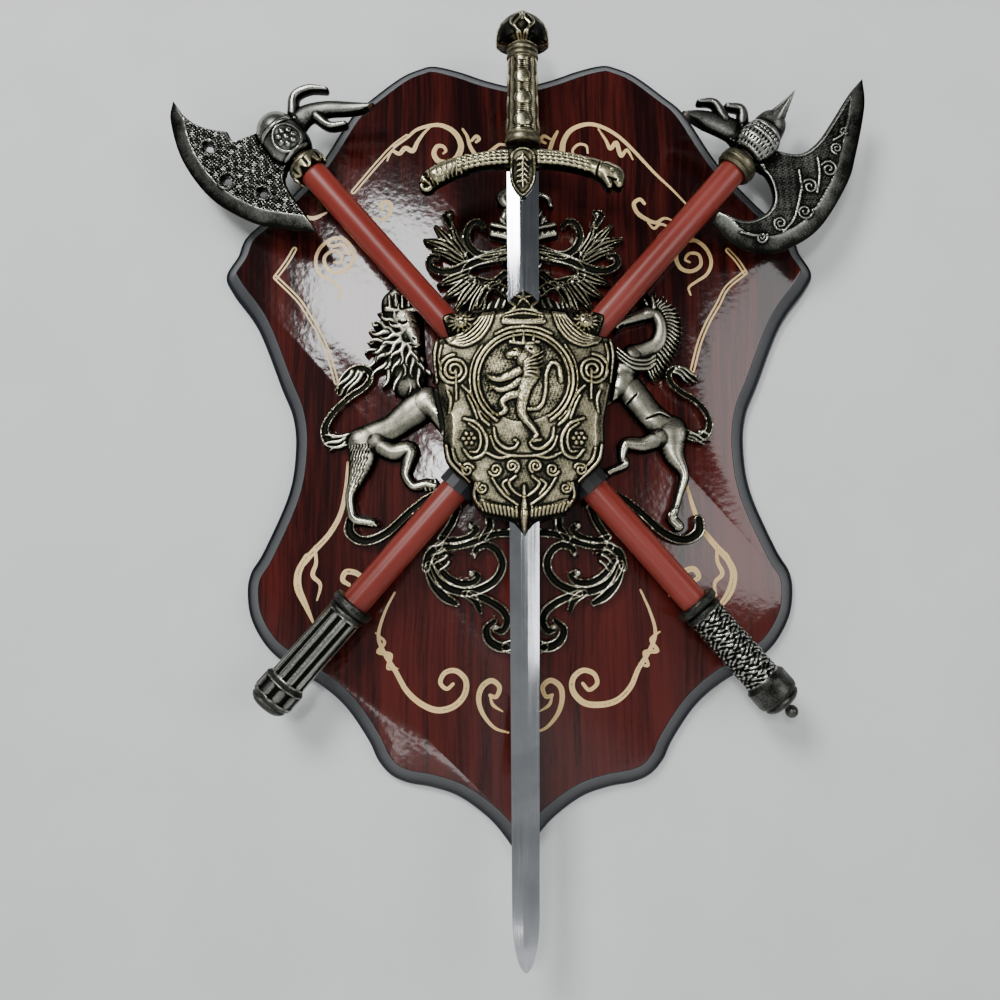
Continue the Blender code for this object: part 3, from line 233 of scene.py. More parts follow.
HORSE_NECK = (
    ((70, 37, 8), (79, 40, 7.6), (87, 46, 6.6), (89, 56, 5.4), (86, 64, 5.2), (80, 66, 5)),
    ((82, 66, 5.2), (73, 63, 4.4), (65, 60, 3.4), (60, 57, 3)),
    ((84, 69, 2.6), (83, 76, 1.4)),
)
HORSE_MANE = (
    ((86, 70, 4), (94, 66, 4.6), (97, 56, 5), (94, 44, 5), (88, 33, 4.6), (82, 24, 3)),
    ((70, 40, 6), (80, 32, 6), (88, 26, 3.4)),
)
HORSE_TAIL = ((102, -13, 3.6), (112, -16, 3), (118, -10, 2.6), (117, -1, 2.2), (110, 8, 2.2), (102, 13, 2.2),
              (95, 19, 2.2), (93, 26, 2.2), (98, 29, 2.4), (105, 26, 3), (110, 21, 2))

CARTOUCHE_HALF = (
    (0, 72, 1), (6, 68, 0), (11, 62, 1), (16, 61, 0), (26, 60, 0), (36, 59, 0), (49, 56, 0), (48, 48, 0),
    (46, 43, 1), (53, 41, 0), (56, 34, 0), (55, 22, 0), (52, 5, 0), (49, -11, 0), (49, -24, 0), (47, -35, 0),
    (41, -42, 0), (34, -48, 0), (31, -59, 0), (25, -66, 0), (13, -69, 0), (6, -72, 1), (0, -79, 1),
)

# The axe heads, drawn in mm along the shaft and out to the edge.
LEFT_EDGE = (
    (174, 24, 1), (188, 37, 0), (207, 51, 0), (235, 60, 0), (266, 58, 0), (292, 47, 0), (302, 37, 1),
    (288, 38, 0), (275, 34, 0), (262, 24, 1), (255, 25, 0), (251, 16, 0), (247, 4, 1), (220, 4, 1),
    (214, 16, 0), (202, 20, 0), (188, 21, 0),
)
LEFT_CUT = ((174, 24), (188, 37), (207, 51), (235, 60), (266, 58), (292, 47), (302, 37))
LEFT_PIERCINGS = ((261, 40, 3.2), (236, 45, 3.4), (215, 33, 3.0))
LEFT_BEAK = (
    ((236, -6, 9), (238, -20, 7), (232, -34, 5.4), (222, -46, 4.4), (208, -64, 1.2)),
    ((244, -16, 4), (252, -24, 3.4), (250, -34, 3), (242, -42, 1.8)),
    ((232, -26, 4), (222, -28, 3), (216, -36, 2.2)),
)
RIGHT_EDGE = (
    (170, 12, 1), (168, 33, 0), (177, 51, 0), (192, 61, 0), (214, 66, 0), (246, 61, 0), (265, 53, 0),
    (294, 37, 0), (308, 24, 1), (294, 24, 0), (274, 27, 0), (255, 29, 0), (241, 25, 0), (232, 10, 1),
    (222, 3, 1), (214, 3, 1), (216, 18, 0), (208, 31, 0), (197, 34, 0), (185, 28, 0), (180, 16, 0), (178, 10, 1),
)
RIGHT_CUT = ((170, 12), (168, 33), (177, 51), (192, 61), (214, 66), (246, 61), (265, 53), (294, 37), (308, 24))
RIGHT_DRAGON = (
    ((226, -4, 9), (226, -16, 8), (222, -30, 7), (216, -42, 5), (207, -54, 1.4)),
    ((232, -14, 4.4), (240, -22, 3.4), (236, -30, 2.4)),
    ((228, -26, 4), (232, -38, 3), (226, -46, 1.6)),
)
RIGHT_SPIKE = ((232, 0, 12), (244, -1, 10), (245, -1, 7.6), (268, -3, 0.9))

# The sword's guard, drawn in mm from its middle.
GUARD_LEVEL = 154
GUARD_CROWN = 12.5
BLADE_HALF, BLADE_HALF_THICK = 10, 2.1
BLADE_TOP, BLADE_SHOULDER, BLADE_TIP = GUARD_LEVEL - 2, -297, -331
GRIP_FOOT, GRIP_LENGTH, GRIP_RADIUS = GUARD_LEVEL + 13, 61.0, 10.5
POMMEL_HEIGHT, POMMEL_RADIUS = 28.0, 17.0
GUARD_ARM = ((0, 4, 8), (12, 4, 6.4), (28, 2, 5.6), (44, -2, 6), (54, -7, 6.6))
LEFT_END = ((-52, -6, 6.8), (-58, -10, 6.6), (-60, -14, 5))
RIGHT_END = ((52, -5, 7), (58, -8, 6.4), (60, -14, 3.2))
RIGHT_JAW = ((52, -8, 5), (54, -15, 2.6))
LANGET = ((0, 2, 8), (0, -10, 8), (0, -18, 4), (0, -21, 1.6))


class PlaqueSizes(bpy.types.PropertyGroup):
    """Sizes of the dressed plaque that can be changed before its pieces are made."""

    casting_grid: bpy.props.FloatProperty(
        name="Casting grid", description="Grid step of the coat of arms", default=0.00045, unit="LENGTH")
    fine_grid: bpy.props.FloatProperty(
        name="Fine grid", description="Grid step of the cartouche, the axe heads and the guard",
        default=0.00042, unit="LENGTH")
    relief: bpy.props.FloatProperty(
        name="Relief", description="Height of the highest carving on the coat of arms", default=0.006,
        unit="LENGTH")
    print_thickness: bpy.props.FloatProperty(
        name="Print thickness", description="Thickness of the printed film", default=0.00004, unit="LENGTH")
    rim_width: bpy.props.FloatProperty(
        name="Rim width", description="Width of the board's black bevel", default=0.010, unit="LENGTH")
    lens: bpy.props.FloatProperty(
        name="Lens", description="Focal length of the camera in millimetres", default=34.02)


def colour_property(name, description, default):
    return bpy.props.FloatVectorProperty(
        name=name, description=description, default=default, subtype="COLOR", size=3, min=0.0, max=1.0)


class PlaqueColours(bpy.types.PropertyGroup):
    """Colours of the finishes, as linear values."""

    wood_dark: colour_property("Dark grain", "Dark streaks of the lacquered wood", (0.010, 0.0022, 0.0022))
    wood_light: colour_property("Light grain", "Light streaks of the lacquered wood", (0.085, 0.012, 0.009))
    rim: colour_property("Rim", "Bevelled rim of the board", (0.006, 0.008, 0.012))
    back: colour_property("Back", "Bare fibreboard at the back", (0.16, 0.10, 0.055))
    print_gold: colour_property("Print", "Pale gold of the printed scrolls", (0.80, 0.56, 0.25))
    recess: colour_property("Recess", "Dark wash in the hollows of the castings", (0.006, 0.0065, 0.005))
    pewter: colour_property("Pewter", "Rubbed ridges of the coat of arms", (0.62, 0.60, 0.47))
    brass: colour_property("Brass", "Rubbed ridges of the cartouche and the hilt", (0.66, 0.60, 0.38))
    gunmetal: colour_property("Gunmetal", "Rubbed ridges of the axe heads", (0.46, 0.47, 0.42))
    steel: colour_property("Steel", "Polished blade", (0.72, 0.74, 0.78))
    paint: colour_property("Paint", "Satin paint of the shafts", (0.20, 0.022, 0.014))
    clip: colour_property("Clip", "Black bands", (0.012, 0.012, 0.015))
    wall: colour_property("Wall", "Wall and floor of the stage", (0.72, 0.73, 0.73))


def size(name):
    """One of the sizes above, in mm."""
    return getattr(bpy.context.scene.plaque_sizes, name) / MM


def colour(name):
    return (*getattr(bpy.context.scene.plaque_colours, name), 1.0)


def smooth_line(points, spans=5):
    """A Catmull-Rom curve through rows of numbers, with this many spans between two rows."""
    rows = np.array(points, float)
    padded = np.vstack((2 * rows[0] - rows[1], rows, 2 * rows[-1] - rows[-2]))
    t = np.linspace(0, 1, spans, endpoint=False)[:, None]
    parts = []
    for i in range(len(rows) - 1):
        a, b, c, d = padded[i:i + 4]
        parts.append(0.5 * (2 * b + (c - a) * t + (2 * a - 5 * b + 4 * c - d) * t**2
                            + (3 * b - a - 3 * c + d) * t**3))
    return np.vstack((*parts, rows[-1:]))


def outline(points, spans=5):
    """A closed outline of rows (x, z, corner): smooth, except that it may turn sharply at each corner."""
    rows = np.array(points, float)
    corners = np.flatnonzero(rows[:, 2] > 0)
    rows = np.roll(rows, -corners[0], axis=0)
    ends = [*np.flatnonzero(rows[:, 2] > 0), len(rows)]
    rows = np.vstack((rows, rows[:1]))
    return np.vstack([smooth_line(rows[a:b + 1, :2], spans)[:-1] for a, b in zip(ends, ends[1:])])


def mirrored(half, spans=5):
    """A closed outline from its right half, whose first and last points are on the axis."""
    half = list(half)
    return outline(half + [(-x, z, corner) for x, z, corner in half[-2:0:-1]], spans)


def other_side(strokes):
    return tuple(tuple((-x, z, r) for x, z, r in stroke) for stroke in strokes)


def arc(x, z, radius, width, start=0, end=360):
    """Rows of a stroke along a circle, by degrees counted anticlockwise from the right."""
    turn = np.radians(np.linspace(start, end, max(3, int(abs(end - start) / 14) + 1)))
    return np.column_stack((x + radius * np.cos(turn), z + radius * np.sin(turn), np.full(len(turn), width)))


def spiral(x, z, outer, inner, turns, start, width, last_width):
    """Rows of a stroke along a spiral whose radius falls evenly from outer to inner over its turns."""
    t = np.linspace(0, 1, int(16 * abs(turns)) + 2)
    turn = np.radians(start + 360 * turns * t)
    radius = outer + (inner - outer) * t
    return np.column_stack((x + radius * np.cos(turn), z + radius * np.sin(turn), width + (last_width - width) * t))


def lock(root, tip, width, bend):
    """Rows of a lock of hair: straight from root to tip, pushed aside by a sine, narrowing to a point."""
    t = np.linspace(0, 1, 6)
    root, tip = np.array(root, float), np.array(tip, float)
    run = tip - root
    aside = np.array([-run[1], run[0]]) / max(np.hypot(*run), 1e-6)
    middle = root + t[:, None] * run + bend * np.sin(2 * np.pi * t)[:, None] * aside
    return np.column_stack((middle, width * (1 - 0.85 * t**1.5)))


def petals(x, z, inner, outer, widths, count):
    """Short strokes round a centre, each from one ellipse to a larger one, given by their half sizes."""
    return [((x + inner[0] * math.cos(t), z + inner[1] * math.sin(t), widths[0]),
             (x + outer[0] * math.cos(t), z + outer[1] * math.sin(t), widths[1]))
            for t in np.linspace(0, 2 * math.pi, count, endpoint=False)]


def round_bar(share, side, along):
    """Half a circle across the stroke."""
    return np.sqrt(np.clip(1 - share**2, 0, 1))


def flat(share, side, along):
    return np.ones(share.shape)


def gutter(share, side, along):
    """A channel between two raised rims: half a circle at three quarters of the way out, and a shallow hollow."""
    rim = np.sqrt(np.clip(1 - ((share - 0.74) / 0.26) ** 2, 0, 1))
    return np.where(share > 0.74, rim, np.maximum(rim, 0.38 + 0.15 * (share / 0.7) ** 2))


def ribbed(share, side, along):
    """Half a circle with three ridges on it, one in the middle and one near each side."""
    return round_bar(share, side, along) * (0.7 + 0.3 * np.cos(3 * np.pi * share))


def rope(share, side, along):
    """Half a circle, wound with slanting turns a fixed pitch apart."""
    return round_bar(share, side, along) * (0.72 + 0.28 * np.cos(2 * np.pi * (along / 3.4 + 0.5 * side * share)))


def box_mean(field, cells):
    """The mean over a square of 2 * cells + 1 each way, from running sums."""
    for axis in (0, 1):
        padded = np.pad(field, [(cells + 1, cells) if a == axis else (0, 0) for a in (0, 1)], mode="edge")
        total = np.cumsum(padded, axis=axis)
        high = np.take(total, range(2 * cells + 1, total.shape[axis]), axis=axis)
        low = np.take(total, range(0, total.shape[axis] - 2 * cells - 1), axis=axis)
        field = (high - low) / (2 * cells + 1)
    return field


def inside_outline(x, z, corners):
    """How far each place is inside a closed outline, below zero outside it."""
    away = np.full(x.shape, 1e3)
    odd = np.zeros(x.shape, bool)
    for (ax, az), (bx, bz) in zip(corners, np.roll(corners, -1, axis=0)):
        dx, dz = bx - ax, bz - az
        t = np.clip(((x - ax) * dx + (z - az) * dz) / max(dx * dx + dz * dz, 1e-9), 0, 1)
        away = np.minimum(away, np.hypot(x - ax - t * dx, z - az - t * dz))
        if az != bz:
            odd ^= ((az > z) != (bz > z)) & (x < ax + dx * (z - az) / dz)
    return np.where(odd, away, -away)


class Relief:
    """A casting drawn on a grid, as how far each place is inside its outline and how high its front stands."""

    def __init__(self, low, high, cell, edge):
        self.cell = cell
        self.edge = edge
        self.low = np.array(low, float)
        self.x, self.z = np.meshgrid(np.arange(low[0], high[0], cell), np.arange(low[1], high[1], cell))
        self.inside = np.full(self.x.shape, -9.0)
        self.front = np.zeros(self.x.shape)
        self.rim = np.zeros(self.x.shape)

    def window(self, low, high):
        """The slices of the grid between two corners."""
        first = np.floor((low - self.low) / self.cell).astype(int)
        last = np.ceil((high - self.low) / self.cell).astype(int) + 1
        first, last = np.maximum(first, 0), np.maximum(last, 0)
        return slice(first[1], last[1]), slice(first[0], last[0])

    def near(self, rows):
        """For a stroke: its window and, there, how far inside it each place is, the share of the way from its
        middle to its side, which side that is (-1 or 1), and the length gone along it."""
        reach = rows[:, 2].max() + 2 * self.cell
        place = self.window(rows[:, :2].min(axis=0) - reach, rows[:, :2].max(axis=0) + reach)
        shape = self.x[place].shape
        inside, share = np.full(shape, -9.0), np.full(shape, 9.0)
        side, along = np.zeros(shape), np.zeros(shape)
        gone = 0.0
        for a, b in zip(rows, rows[1:]):
            part = self.window(np.minimum(a, b)[:2] - reach, np.maximum(a, b)[:2] + reach)
            cut = tuple(slice(p.start - q.start, p.stop - q.start) for p, q in zip(part, place))
            x, z = self.x[part], self.z[part]
            run = b[:2] - a[:2]
            length = max(np.hypot(*run), 1e-6)
            t = np.clip(((x - a[0]) * run[0] + (z - a[1]) * run[1]) / length**2, 0, 1)
            off_x, off_z = x - a[0] - t * run[0], z - a[1] - t * run[1]
            away = np.hypot(off_x, off_z)
            radius = np.maximum(a[2] + t * (b[2] - a[2]), 0.05)
            better = away / radius < share[cut]
            inside[cut] = np.maximum(inside[cut], radius - away)
            share[cut] = np.where(better, away / radius, share[cut])
            side[cut] = np.where(better, np.sign(off_x * run[1] - off_z * run[0]), side[cut])
            along[cut] = np.where(better, gone + t * length, along[cut])
            gone += length
        return place, inside, share, side, along

    def lay(self, place, inside, rise, border, blend=0.0):
        """Puts a form on the grid: the higher of it and what is there, melted together over blend mm."""
        self.inside[place] = np.maximum(self.inside[place], inside)
        old = self.front[place]
        if blend:
            h = np.clip(0.5 + 0.5 * (rise - old) / blend, 0, 1)
            top = old * (1 - h) + rise * h + 0.5 * blend * h * (1 - h)
        else:
            top = np.maximum(old, rise)
        self.front[place] = np.where(inside > 0, top, old)
        close = inside > -1.5 * self.cell
        self.rim[place] = np.where(close, np.maximum(self.rim[place], border), self.rim[place])

    def stroke(self, points, height, base=0.0, profile=round_bar, blend=0.0):
        """A bar along the stroke, standing on base, its height given across it by the profile."""
        place, inside, share, side, along = self.near(smooth_line(points))
        rise = self.edge + base + height * profile(np.clip(share, 0, 1), side, along)
        self.lay(place, inside, rise, self.edge + base, blend)

    def fill(self, corners, rise):
        """A sheet inside a closed outline, with the given front."""
        inside = inside_outline(self.x, self.z, corners)
        self.lay((slice(None), slice(None)), inside, rise, self.edge)
        return inside

    def carve(self, strokes, height, profile=round_bar, spans=5):
        """Raises the strokes on the front that is there, or cuts them with a negative height. Where two of them
        overlap, the higher counts once."""
        layer = np.zeros(self.front.shape)
        for points in strokes:
            place, _, share, side, along = self.near(smooth_line(points, spans))
            rise = np.where(share < 1, profile(np.clip(share, 0, 1), side, along), 0)
            layer[place] = np.maximum(layer[place], rise)
        self.front += height * layer

    def balls(self, rows, height):
        """Round bosses, each an ellipsoid's cap on the front that is there."""
        for x, z, radius in rows:
            share = np.hypot(self.x - x, self.z - z) / radius
            cap = np.sqrt(np.clip(1 - share**2, 0, 1))
            self.front = np.where(share < 1, np.maximum(self.front, self.edge + height * cap), self.front)

    def keep(self, inside):
        """Cuts off what lies outside the given field."""
        self.inside = np.minimum(self.inside, inside)

    def lift(self):
        """How far each place stands above its surroundings: the front less its mean nearby, near and wider."""
        solid = (self.inside > 0).astype(float)
        front = np.where(solid > 0, self.front, 0)
        total = np.zeros(front.shape)
        for reach, share, step in ((0.9, 0.55, 0.35), (3.2, 0.45, 1.1)):
            cells = max(1, int(reach / self.cell))
            weight = np.maximum(box_mean(box_mean(solid, cells), cells), 1e-3)
            mean = box_mean(box_mean(front, cells), cells) / weight
            total += share * np.clip((front - mean) / step, -1, 1)
        return total

    def triangles(self, lift):
        """The grid's triangles cut off at the outline: rows (x, z, front, lift) and corners."""
        tall, wide = self.x.shape
        ids = np.arange(tall * wide).reshape(tall, wide)
        a, b, c, d = ids[:-1, :-1].ravel(), ids[:-1, 1:].ravel(), ids[1:, 1:].ravel(), ids[1:, :-1].ravel()
        corners = np.vstack((np.column_stack((a, b, c)), np.column_stack((a, c, d))))
        depth = self.inside.ravel()
        depth = np.where(np.abs(depth) < 1e-6, 1e-6, depth)
        count = (depth[corners] > 0).sum(axis=1)

        def lone_first(cells, lone):
            order = (lone.argmax(axis=1)[:, None] + np.arange(3)) % 3
            return np.take_along_axis(cells, order, axis=1)

        one = lone_first(corners[count == 1], depth[corners[count == 1]] > 0)
        two = lone_first(corners[count == 2], depth[corners[count == 2]] <= 0)
        pairs = np.vstack((one[:, [0, 1]], one[:, [0, 2]], two[:, [1, 0]], two[:, [2, 0]]))
        keys, index = np.unique(pairs, axis=0, return_inverse=True)
        index = index.ravel() + tall * wide
        n, m = len(one), len(two)
        p, q, r, s = index[:n], index[n:2 * n], index[2 * n:2 * n + m], index[2 * n + m:]
        faces = np.vstack((
            corners[count == 3],
            np.column_stack((one[:, 0], p, q)),
            np.column_stack((r, two[:, 1], two[:, 2])),
            np.column_stack((r, two[:, 2], s)),
        ))
        inner, outer = keys[:, 0], keys[:, 1]
        t = np.clip(depth[inner] / (depth[inner] - depth[outer]), 0.08, 0.92)[:, None]
        rim = np.where(self.rim > 0, self.rim, self.edge).ravel()
        rows = np.column_stack((self.x.ravel(), self.z.ravel(), self.front.ravel(), lift.ravel()))
        cut = rows[inner] + t * (rows[outer] - rows[inner])
        front = rows[inner, 2]
        cut[:, 2] = front + t[:, 0] * (np.minimum(rim[outer], front) - front)
        cut[:, 3] = rows[inner, 3] - 0.2
        rows = np.vstack((rows, cut))
        used, faces = np.unique(faces, return_inverse=True)
        return rows[used], faces.reshape(-1, 3)

    def piece(self, name, finish, back, place, back_share=0.04):
        """One closed body between the front and the back, whose outline has upright sides. The back keeps only a
        share of its triangles, because little of it shows."""
        rows, faces = self.triangles(self.lift())
        behind = back(rows[:, 0], rows[:, 1], rows[:, 2])
        n = len(rows)
        edges = np.vstack((faces[:, [0, 1]], faces[:, [1, 2]], faces[:, [2, 0]]))
        _, index, count = np.unique(np.sort(edges, axis=1), axis=0, return_inverse=True, return_counts=True)
        border = edges[count[index.ravel()] == 1]
        walls = np.vstack((
            np.column_stack((border[:, 1], border[:, 0], border[:, 0] + n)),
            np.column_stack((border[:, 1], border[:, 0] + n, border[:, 1] + n)),
        ))
        points = np.vstack((place(rows[:, 0], rows[:, 1], rows[:, 2]), place(rows[:, 0], rows[:, 1], behind)))
        lift = np.concatenate((rows[:, 3], np.full(n, -0.3) if back_share < 1 else rows[:, 3]))
        made = add_mesh(name, points, np.vstack((faces, faces[:, ::-1] + n, walls)), finish, lift)
        if back_share < 1:
            thin_back(made, n, back_share, len(faces))
        return made


def thin_back(thing, first, share, count):
    """Fewer triangles among the points from first on: an edge collapse that leaves the others alone."""
    group = thing.vertex_groups.new(name="back")
    group.add(list(range(first, len(thing.data.vertices))), 1.0, "REPLACE")
    modifier = thing.modifiers.new("Plain back", "DECIMATE")
    modifier.vertex_group = "back"
    modifier.vertex_group_factor = 1000
    modifier.ratio = 1 - (1 - share) * count / len(thing.data.polygons)
    modifier.use_collapse_triangulate = True
    bpy.context.view_layer.update()
    full = thing.data
    thing.data = bpy.data.meshes.new_from_object(thing.evaluated_get(bpy.context.evaluated_depsgraph_get()))
    thing.modifiers.clear()
    thing.vertex_groups.clear()
    bpy.data.meshes.remove(full)


def add_mesh(name, points, faces, finish, lift=None, sharp=60):
    """A named piece from points in mm and faces, turned outward, on the plaque's one body."""
    mesh = bpy.data.meshes.new(name)
    faces = faces.tolist() if isinstance(faces, np.ndarray) else faces
    mesh.from_pydata((np.asarray(points) * MM).tolist(), [], faces)
    if lift is not None:
        mesh.attributes.new("lift", "FLOAT", "POINT").data.foreach_set("value", np.asarray(lift, np.float32))
    if volume(mesh) < 0:
        mesh.flip_normals()
    mesh.shade_smooth()
    mesh.set_sharp_from_angle(angle=math.radians(sharp))
    made = bpy.data.objects.new(name, mesh)
    for material in finish if isinstance(finish, (list, tuple)) else [finish]:
        mesh.materials.append(material)
    bpy.context.scene.collection.objects.link(made)
    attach(made, "root")
    return made


def volume(mesh):
    """Six times the volume that the faces enclose, below zero if they point inward."""
    mesh.calc_loop_triangles()
    corners = np.empty(3 * len(mesh.loop_triangles), np.int32)
    mesh.loop_triangles.foreach_get("vertices", corners)
    points = np.empty(3 * len(mesh.vertices), np.float32)
    mesh.vertices.foreach_get("co", points)
    a, b, c = points.reshape(-1, 3)[corners.reshape(-1, 3)].transpose(1, 0, 2)
    return float((np.cross(a, b) * c).sum())


def on_board(depth):
    """Places a relief flat, with its zero height at this depth in front of the wall."""
    return lambda x, z, height: np.column_stack((x, -(depth + height), z))


def across_shaft(side, depth):
    """Places what is drawn along a shaft and out to its left or right: side is -1 or 1."""
    c, s = math.cos(SHAFT_ANGLE), math.sin(SHAFT_ANGLE)
    return lambda along, out, height: np.column_stack(
        (side * (along * c + out * s), -(depth + height), along * s - out * c))


def upright(depth):
    """Places a turned piece with its axis upright."""
    return lambda along, out, forward: np.column_stack((out, -(depth + forward), along))


def ring_faces(near, far):
    """The quads between two rows of rings, from the ids of their points."""
    return np.stack((near, np.roll(near, -1, axis=1), np.roll(far, -1, axis=1), far), axis=-1).reshape(-1, 4)


def turned(name, profile, finish, place, sides=96, relief=None, step=0.5, closed=False):
    """A turned piece. The profile's rows (along, radius) are filled in every step mm; the radius there grows by
    relief(turn, along). A closed profile makes a ring, an open one begins and ends on the axis."""
    rows = np.array(profile, float)
    if closed:
        rows = np.vstack((rows, rows[:1]))
    parts = [a + np.linspace(0, 1, max(1, int(np.hypot(*(b - a)) / step)), endpoint=False)[:, None] * (b - a)
             for a, b in zip(rows, rows[1:])]
    rows = np.vstack(parts if closed else (*parts, rows[-1:]))
    turn = np.linspace(0, 2 * math.pi, sides, endpoint=False)
    along, radius = (np.repeat(column, sides).reshape(-1, sides) for column in rows.T)
    turns = np.broadcast_to(turn, along.shape)
    rise = relief(turns, along) if relief else np.zeros(along.shape)
    rise = np.where(radius < 0.01, 0, rise)
    grown = radius + rise
    points = place(along.ravel(), (grown * np.cos(turns)).ravel(), (grown * np.sin(turns)).ravel())
    count = len(rows)
    ids = np.arange(count * sides).reshape(count, sides)
    if not closed:
        ids[0], ids[-1] = ids[0, 0], ids[-1, 0]
    lower = ids if closed else ids[:-1]
    upper = np.roll(ids, -1, axis=0) if closed else ids[1:]
    used, quads = np.unique(ring_faces(lower, upper), return_inverse=True)
    quads = quads.reshape(-1, 4)
    faces = [list(dict.fromkeys(quad)) for quad in quads.tolist()]
    lift = np.clip((rise - box_mean(rise, 3)) / 0.35, -1, 1).ravel() + np.clip(rise.ravel() * 0.4, -0.4, 0.4)
    return add_mesh(name, points[used], faces, finish, lift[used], 50)


def shader_node(tree, kind, inputs=None, **settings):
    """A node with its settings, and with its inputs set to values or linked to sockets."""
    made = tree.nodes.new(kind)
    for key, value in settings.items():
        setattr(made, key, value)
    for key, value in (inputs or {}).items():
        if isinstance(value, bpy.types.NodeSocket):
            tree.links.new(value, made.inputs[key])
        else:
            made.inputs[key].default_value = value
    return made


def node_group(name, inputs, outputs):
    """An empty shader node group with named sockets: its tree, its input node and its output node."""
    tree = bpy.data.node_groups.new(name, "ShaderNodeTree")
    for direction, sockets in (("INPUT", inputs), ("OUTPUT", outputs)):
        for label, kind in sockets:
            tree.interface.new_socket(label, in_out=direction, socket_type="NodeSocket" + kind)
    return tree, tree.nodes.new("NodeGroupInput"), tree.nodes.new("NodeGroupOutput")


def noise(tree, vector, scale, detail=3.0, roughness=0.5):
    return shader_node(tree, "ShaderNodeTexNoise", {
        "Vector": vector, "Scale": scale, "Detail": detail, "Roughness": roughness}).outputs["Fac"]


def remap(tree, value, low, high, to_low=0.0, to_high=1.0):
    return shader_node(tree, "ShaderNodeMapRange", {
        "Value": value, "From Min": low, "From Max": high, "To Min": to_low, "To Max": to_high},
        interpolation_type="SMOOTHSTEP").outputs["Result"]


def blend_colour(tree, share, a, b):
    return shader_node(tree, "ShaderNodeMix", {0: share, 6: a, 7: b}, data_type="RGBA").outputs[2]


def arithmetic(tree, operation, a, b):
    return shader_node(tree, "ShaderNodeMath", {0: a, 1: b}, operation=operation).outputs[0]


def make_aged_metal():
    """A casting washed with dark lacquer and rubbed bright on its ridges, guided by the lift attribute."""
    tree, given, out = node_group(
        "Aged metal",
        (("Recess", "Color"), ("Ridge", "Color"), ("Low", "Float"), ("High", "Float"), ("Vector", "Vector")),
        (("Color", "Color"), ("Roughness", "Float"), ("Height", "Float")))
    lift = shader_node(tree, "ShaderNodeAttribute", attribute_name="lift").outputs["Fac"]
    blotch = noise(tree, given.outputs["Vector"], 70.0, 4.0)
    speck = noise(tree, given.outputs["Vector"], 900.0, 3.0, 0.6)
    uneven = arithmetic(tree, "MULTIPLY_ADD", blotch, 0.7)
    uneven.node.inputs[2].default_value = -0.35
    value = arithmetic(tree, "ADD", lift, uneven)
    fine = arithmetic(tree, "MULTIPLY_ADD", speck, 0.5)
    fine.node.inputs[2].default_value = -0.25
    value = arithmetic(tree, "ADD", value, fine)
    rubbed = shader_node(tree, "ShaderNodeMapRange", {
        "Value": value, "From Min": given.outputs["Low"], "From Max": given.outputs["High"]},
        interpolation_type="SMOOTHSTEP").outputs["Result"]
    tint = blend_colour(tree, rubbed, given.outputs["Recess"], given.outputs["Ridge"])
    rough = arithmetic(tree, "ADD", remap(tree, rubbed, 0, 1, 0.42, 0.2), remap(tree, speck, 0.3, 0.7, -0.04, 0.08))
    tree.links.new(tint, out.inputs["Color"])
    tree.links.new(rough, out.inputs["Roughness"])
    tree.links.new(arithmetic(tree, "ADD", speck, blotch), out.inputs["Height"])
    return tree


def make_mottle():
    """A colour that varies a little from place to place, with a fine even unevenness of the surface."""
    tree, given, out = node_group(
        "Mottle",
        (("Color", "Color"), ("Variation", "Float"), ("Scale", "Float"), ("Vector", "Vector")),
        (("Color", "Color"), ("Mask", "Float"), ("Height", "Float")))
    broad = noise(tree, given.outputs["Vector"], 14.0, 3.0)
    fine = shader_node(tree, "ShaderNodeTexNoise", {
        "Vector": given.outputs["Vector"], "Scale": given.outputs["Scale"], "Detail": 2.0}).outputs["Fac"]
    swing = arithmetic(tree, "MULTIPLY", remap(tree, broad, 0.3, 0.7, -1, 1), given.outputs["Variation"])
    level = arithmetic(tree, "ADD", swing, 1.0)
    tint = shader_node(tree, "ShaderNodeVectorMath", {
        0: given.outputs["Color"], "Scale": level}, operation="SCALE").outputs[0]
    tree.links.new(tint, out.inputs["Color"])
    tree.links.new(broad, out.inputs["Mask"])
    tree.links.new(fine, out.inputs["Height"])
    return tree


def new_material(name):
    """A material with its tree, its Principled shader and Object coordinates."""
    made = bpy.data.materials.new(name)
    made.use_nodes = True
    tree = made.node_tree
    where = tree.nodes.new("ShaderNodeTexCoord").outputs["Object"]
    return made, tree, tree.nodes["Principled BSDF"], where


def place_group(tree, name, inputs):
    made = tree.nodes.new("ShaderNodeGroup")
    made.node_tree = bpy.data.node_groups.get(name) or {"Aged metal": make_aged_metal, "Mottle": make_mottle}[name]()
    for key, value in inputs.items():
        if isinstance(value, bpy.types.NodeSocket):
            tree.links.new(value, made.inputs[key])
        else:
            made.inputs[key].default_value = value
    return made


def bump(tree, shader, height, strength, distance):
    made = shader_node(tree, "ShaderNodeBump", {"Height": height, "Strength": strength, "Distance": distance})
    tree.links.new(made.outputs["Normal"], shader.inputs["Normal"])


def aged_metal(name, ridge, low=-0.25, high=0.75):
    """A cast metal finish: dark in its hollows, rubbed to the named colour on its ridges."""
    found = bpy.data.materials.get(name)
    if found:
        return found
    made, tree, shader, where = new_material(name)
    metal = place_group(tree, "Aged metal", {
        "Recess": colour("recess"), "Ridge": colour(ridge), "Low": low, "High": high, "Vector": where})
    tree.links.new(metal.outputs["Color"], shader.inputs["Base Color"])
    tree.links.new(metal.outputs["Roughness"], shader.inputs["Roughness"])
    shader.inputs["Metallic"].default_value = 1.0
    bump(tree, shader, metal.outputs["Height"], 0.25, 0.0003)
    return made


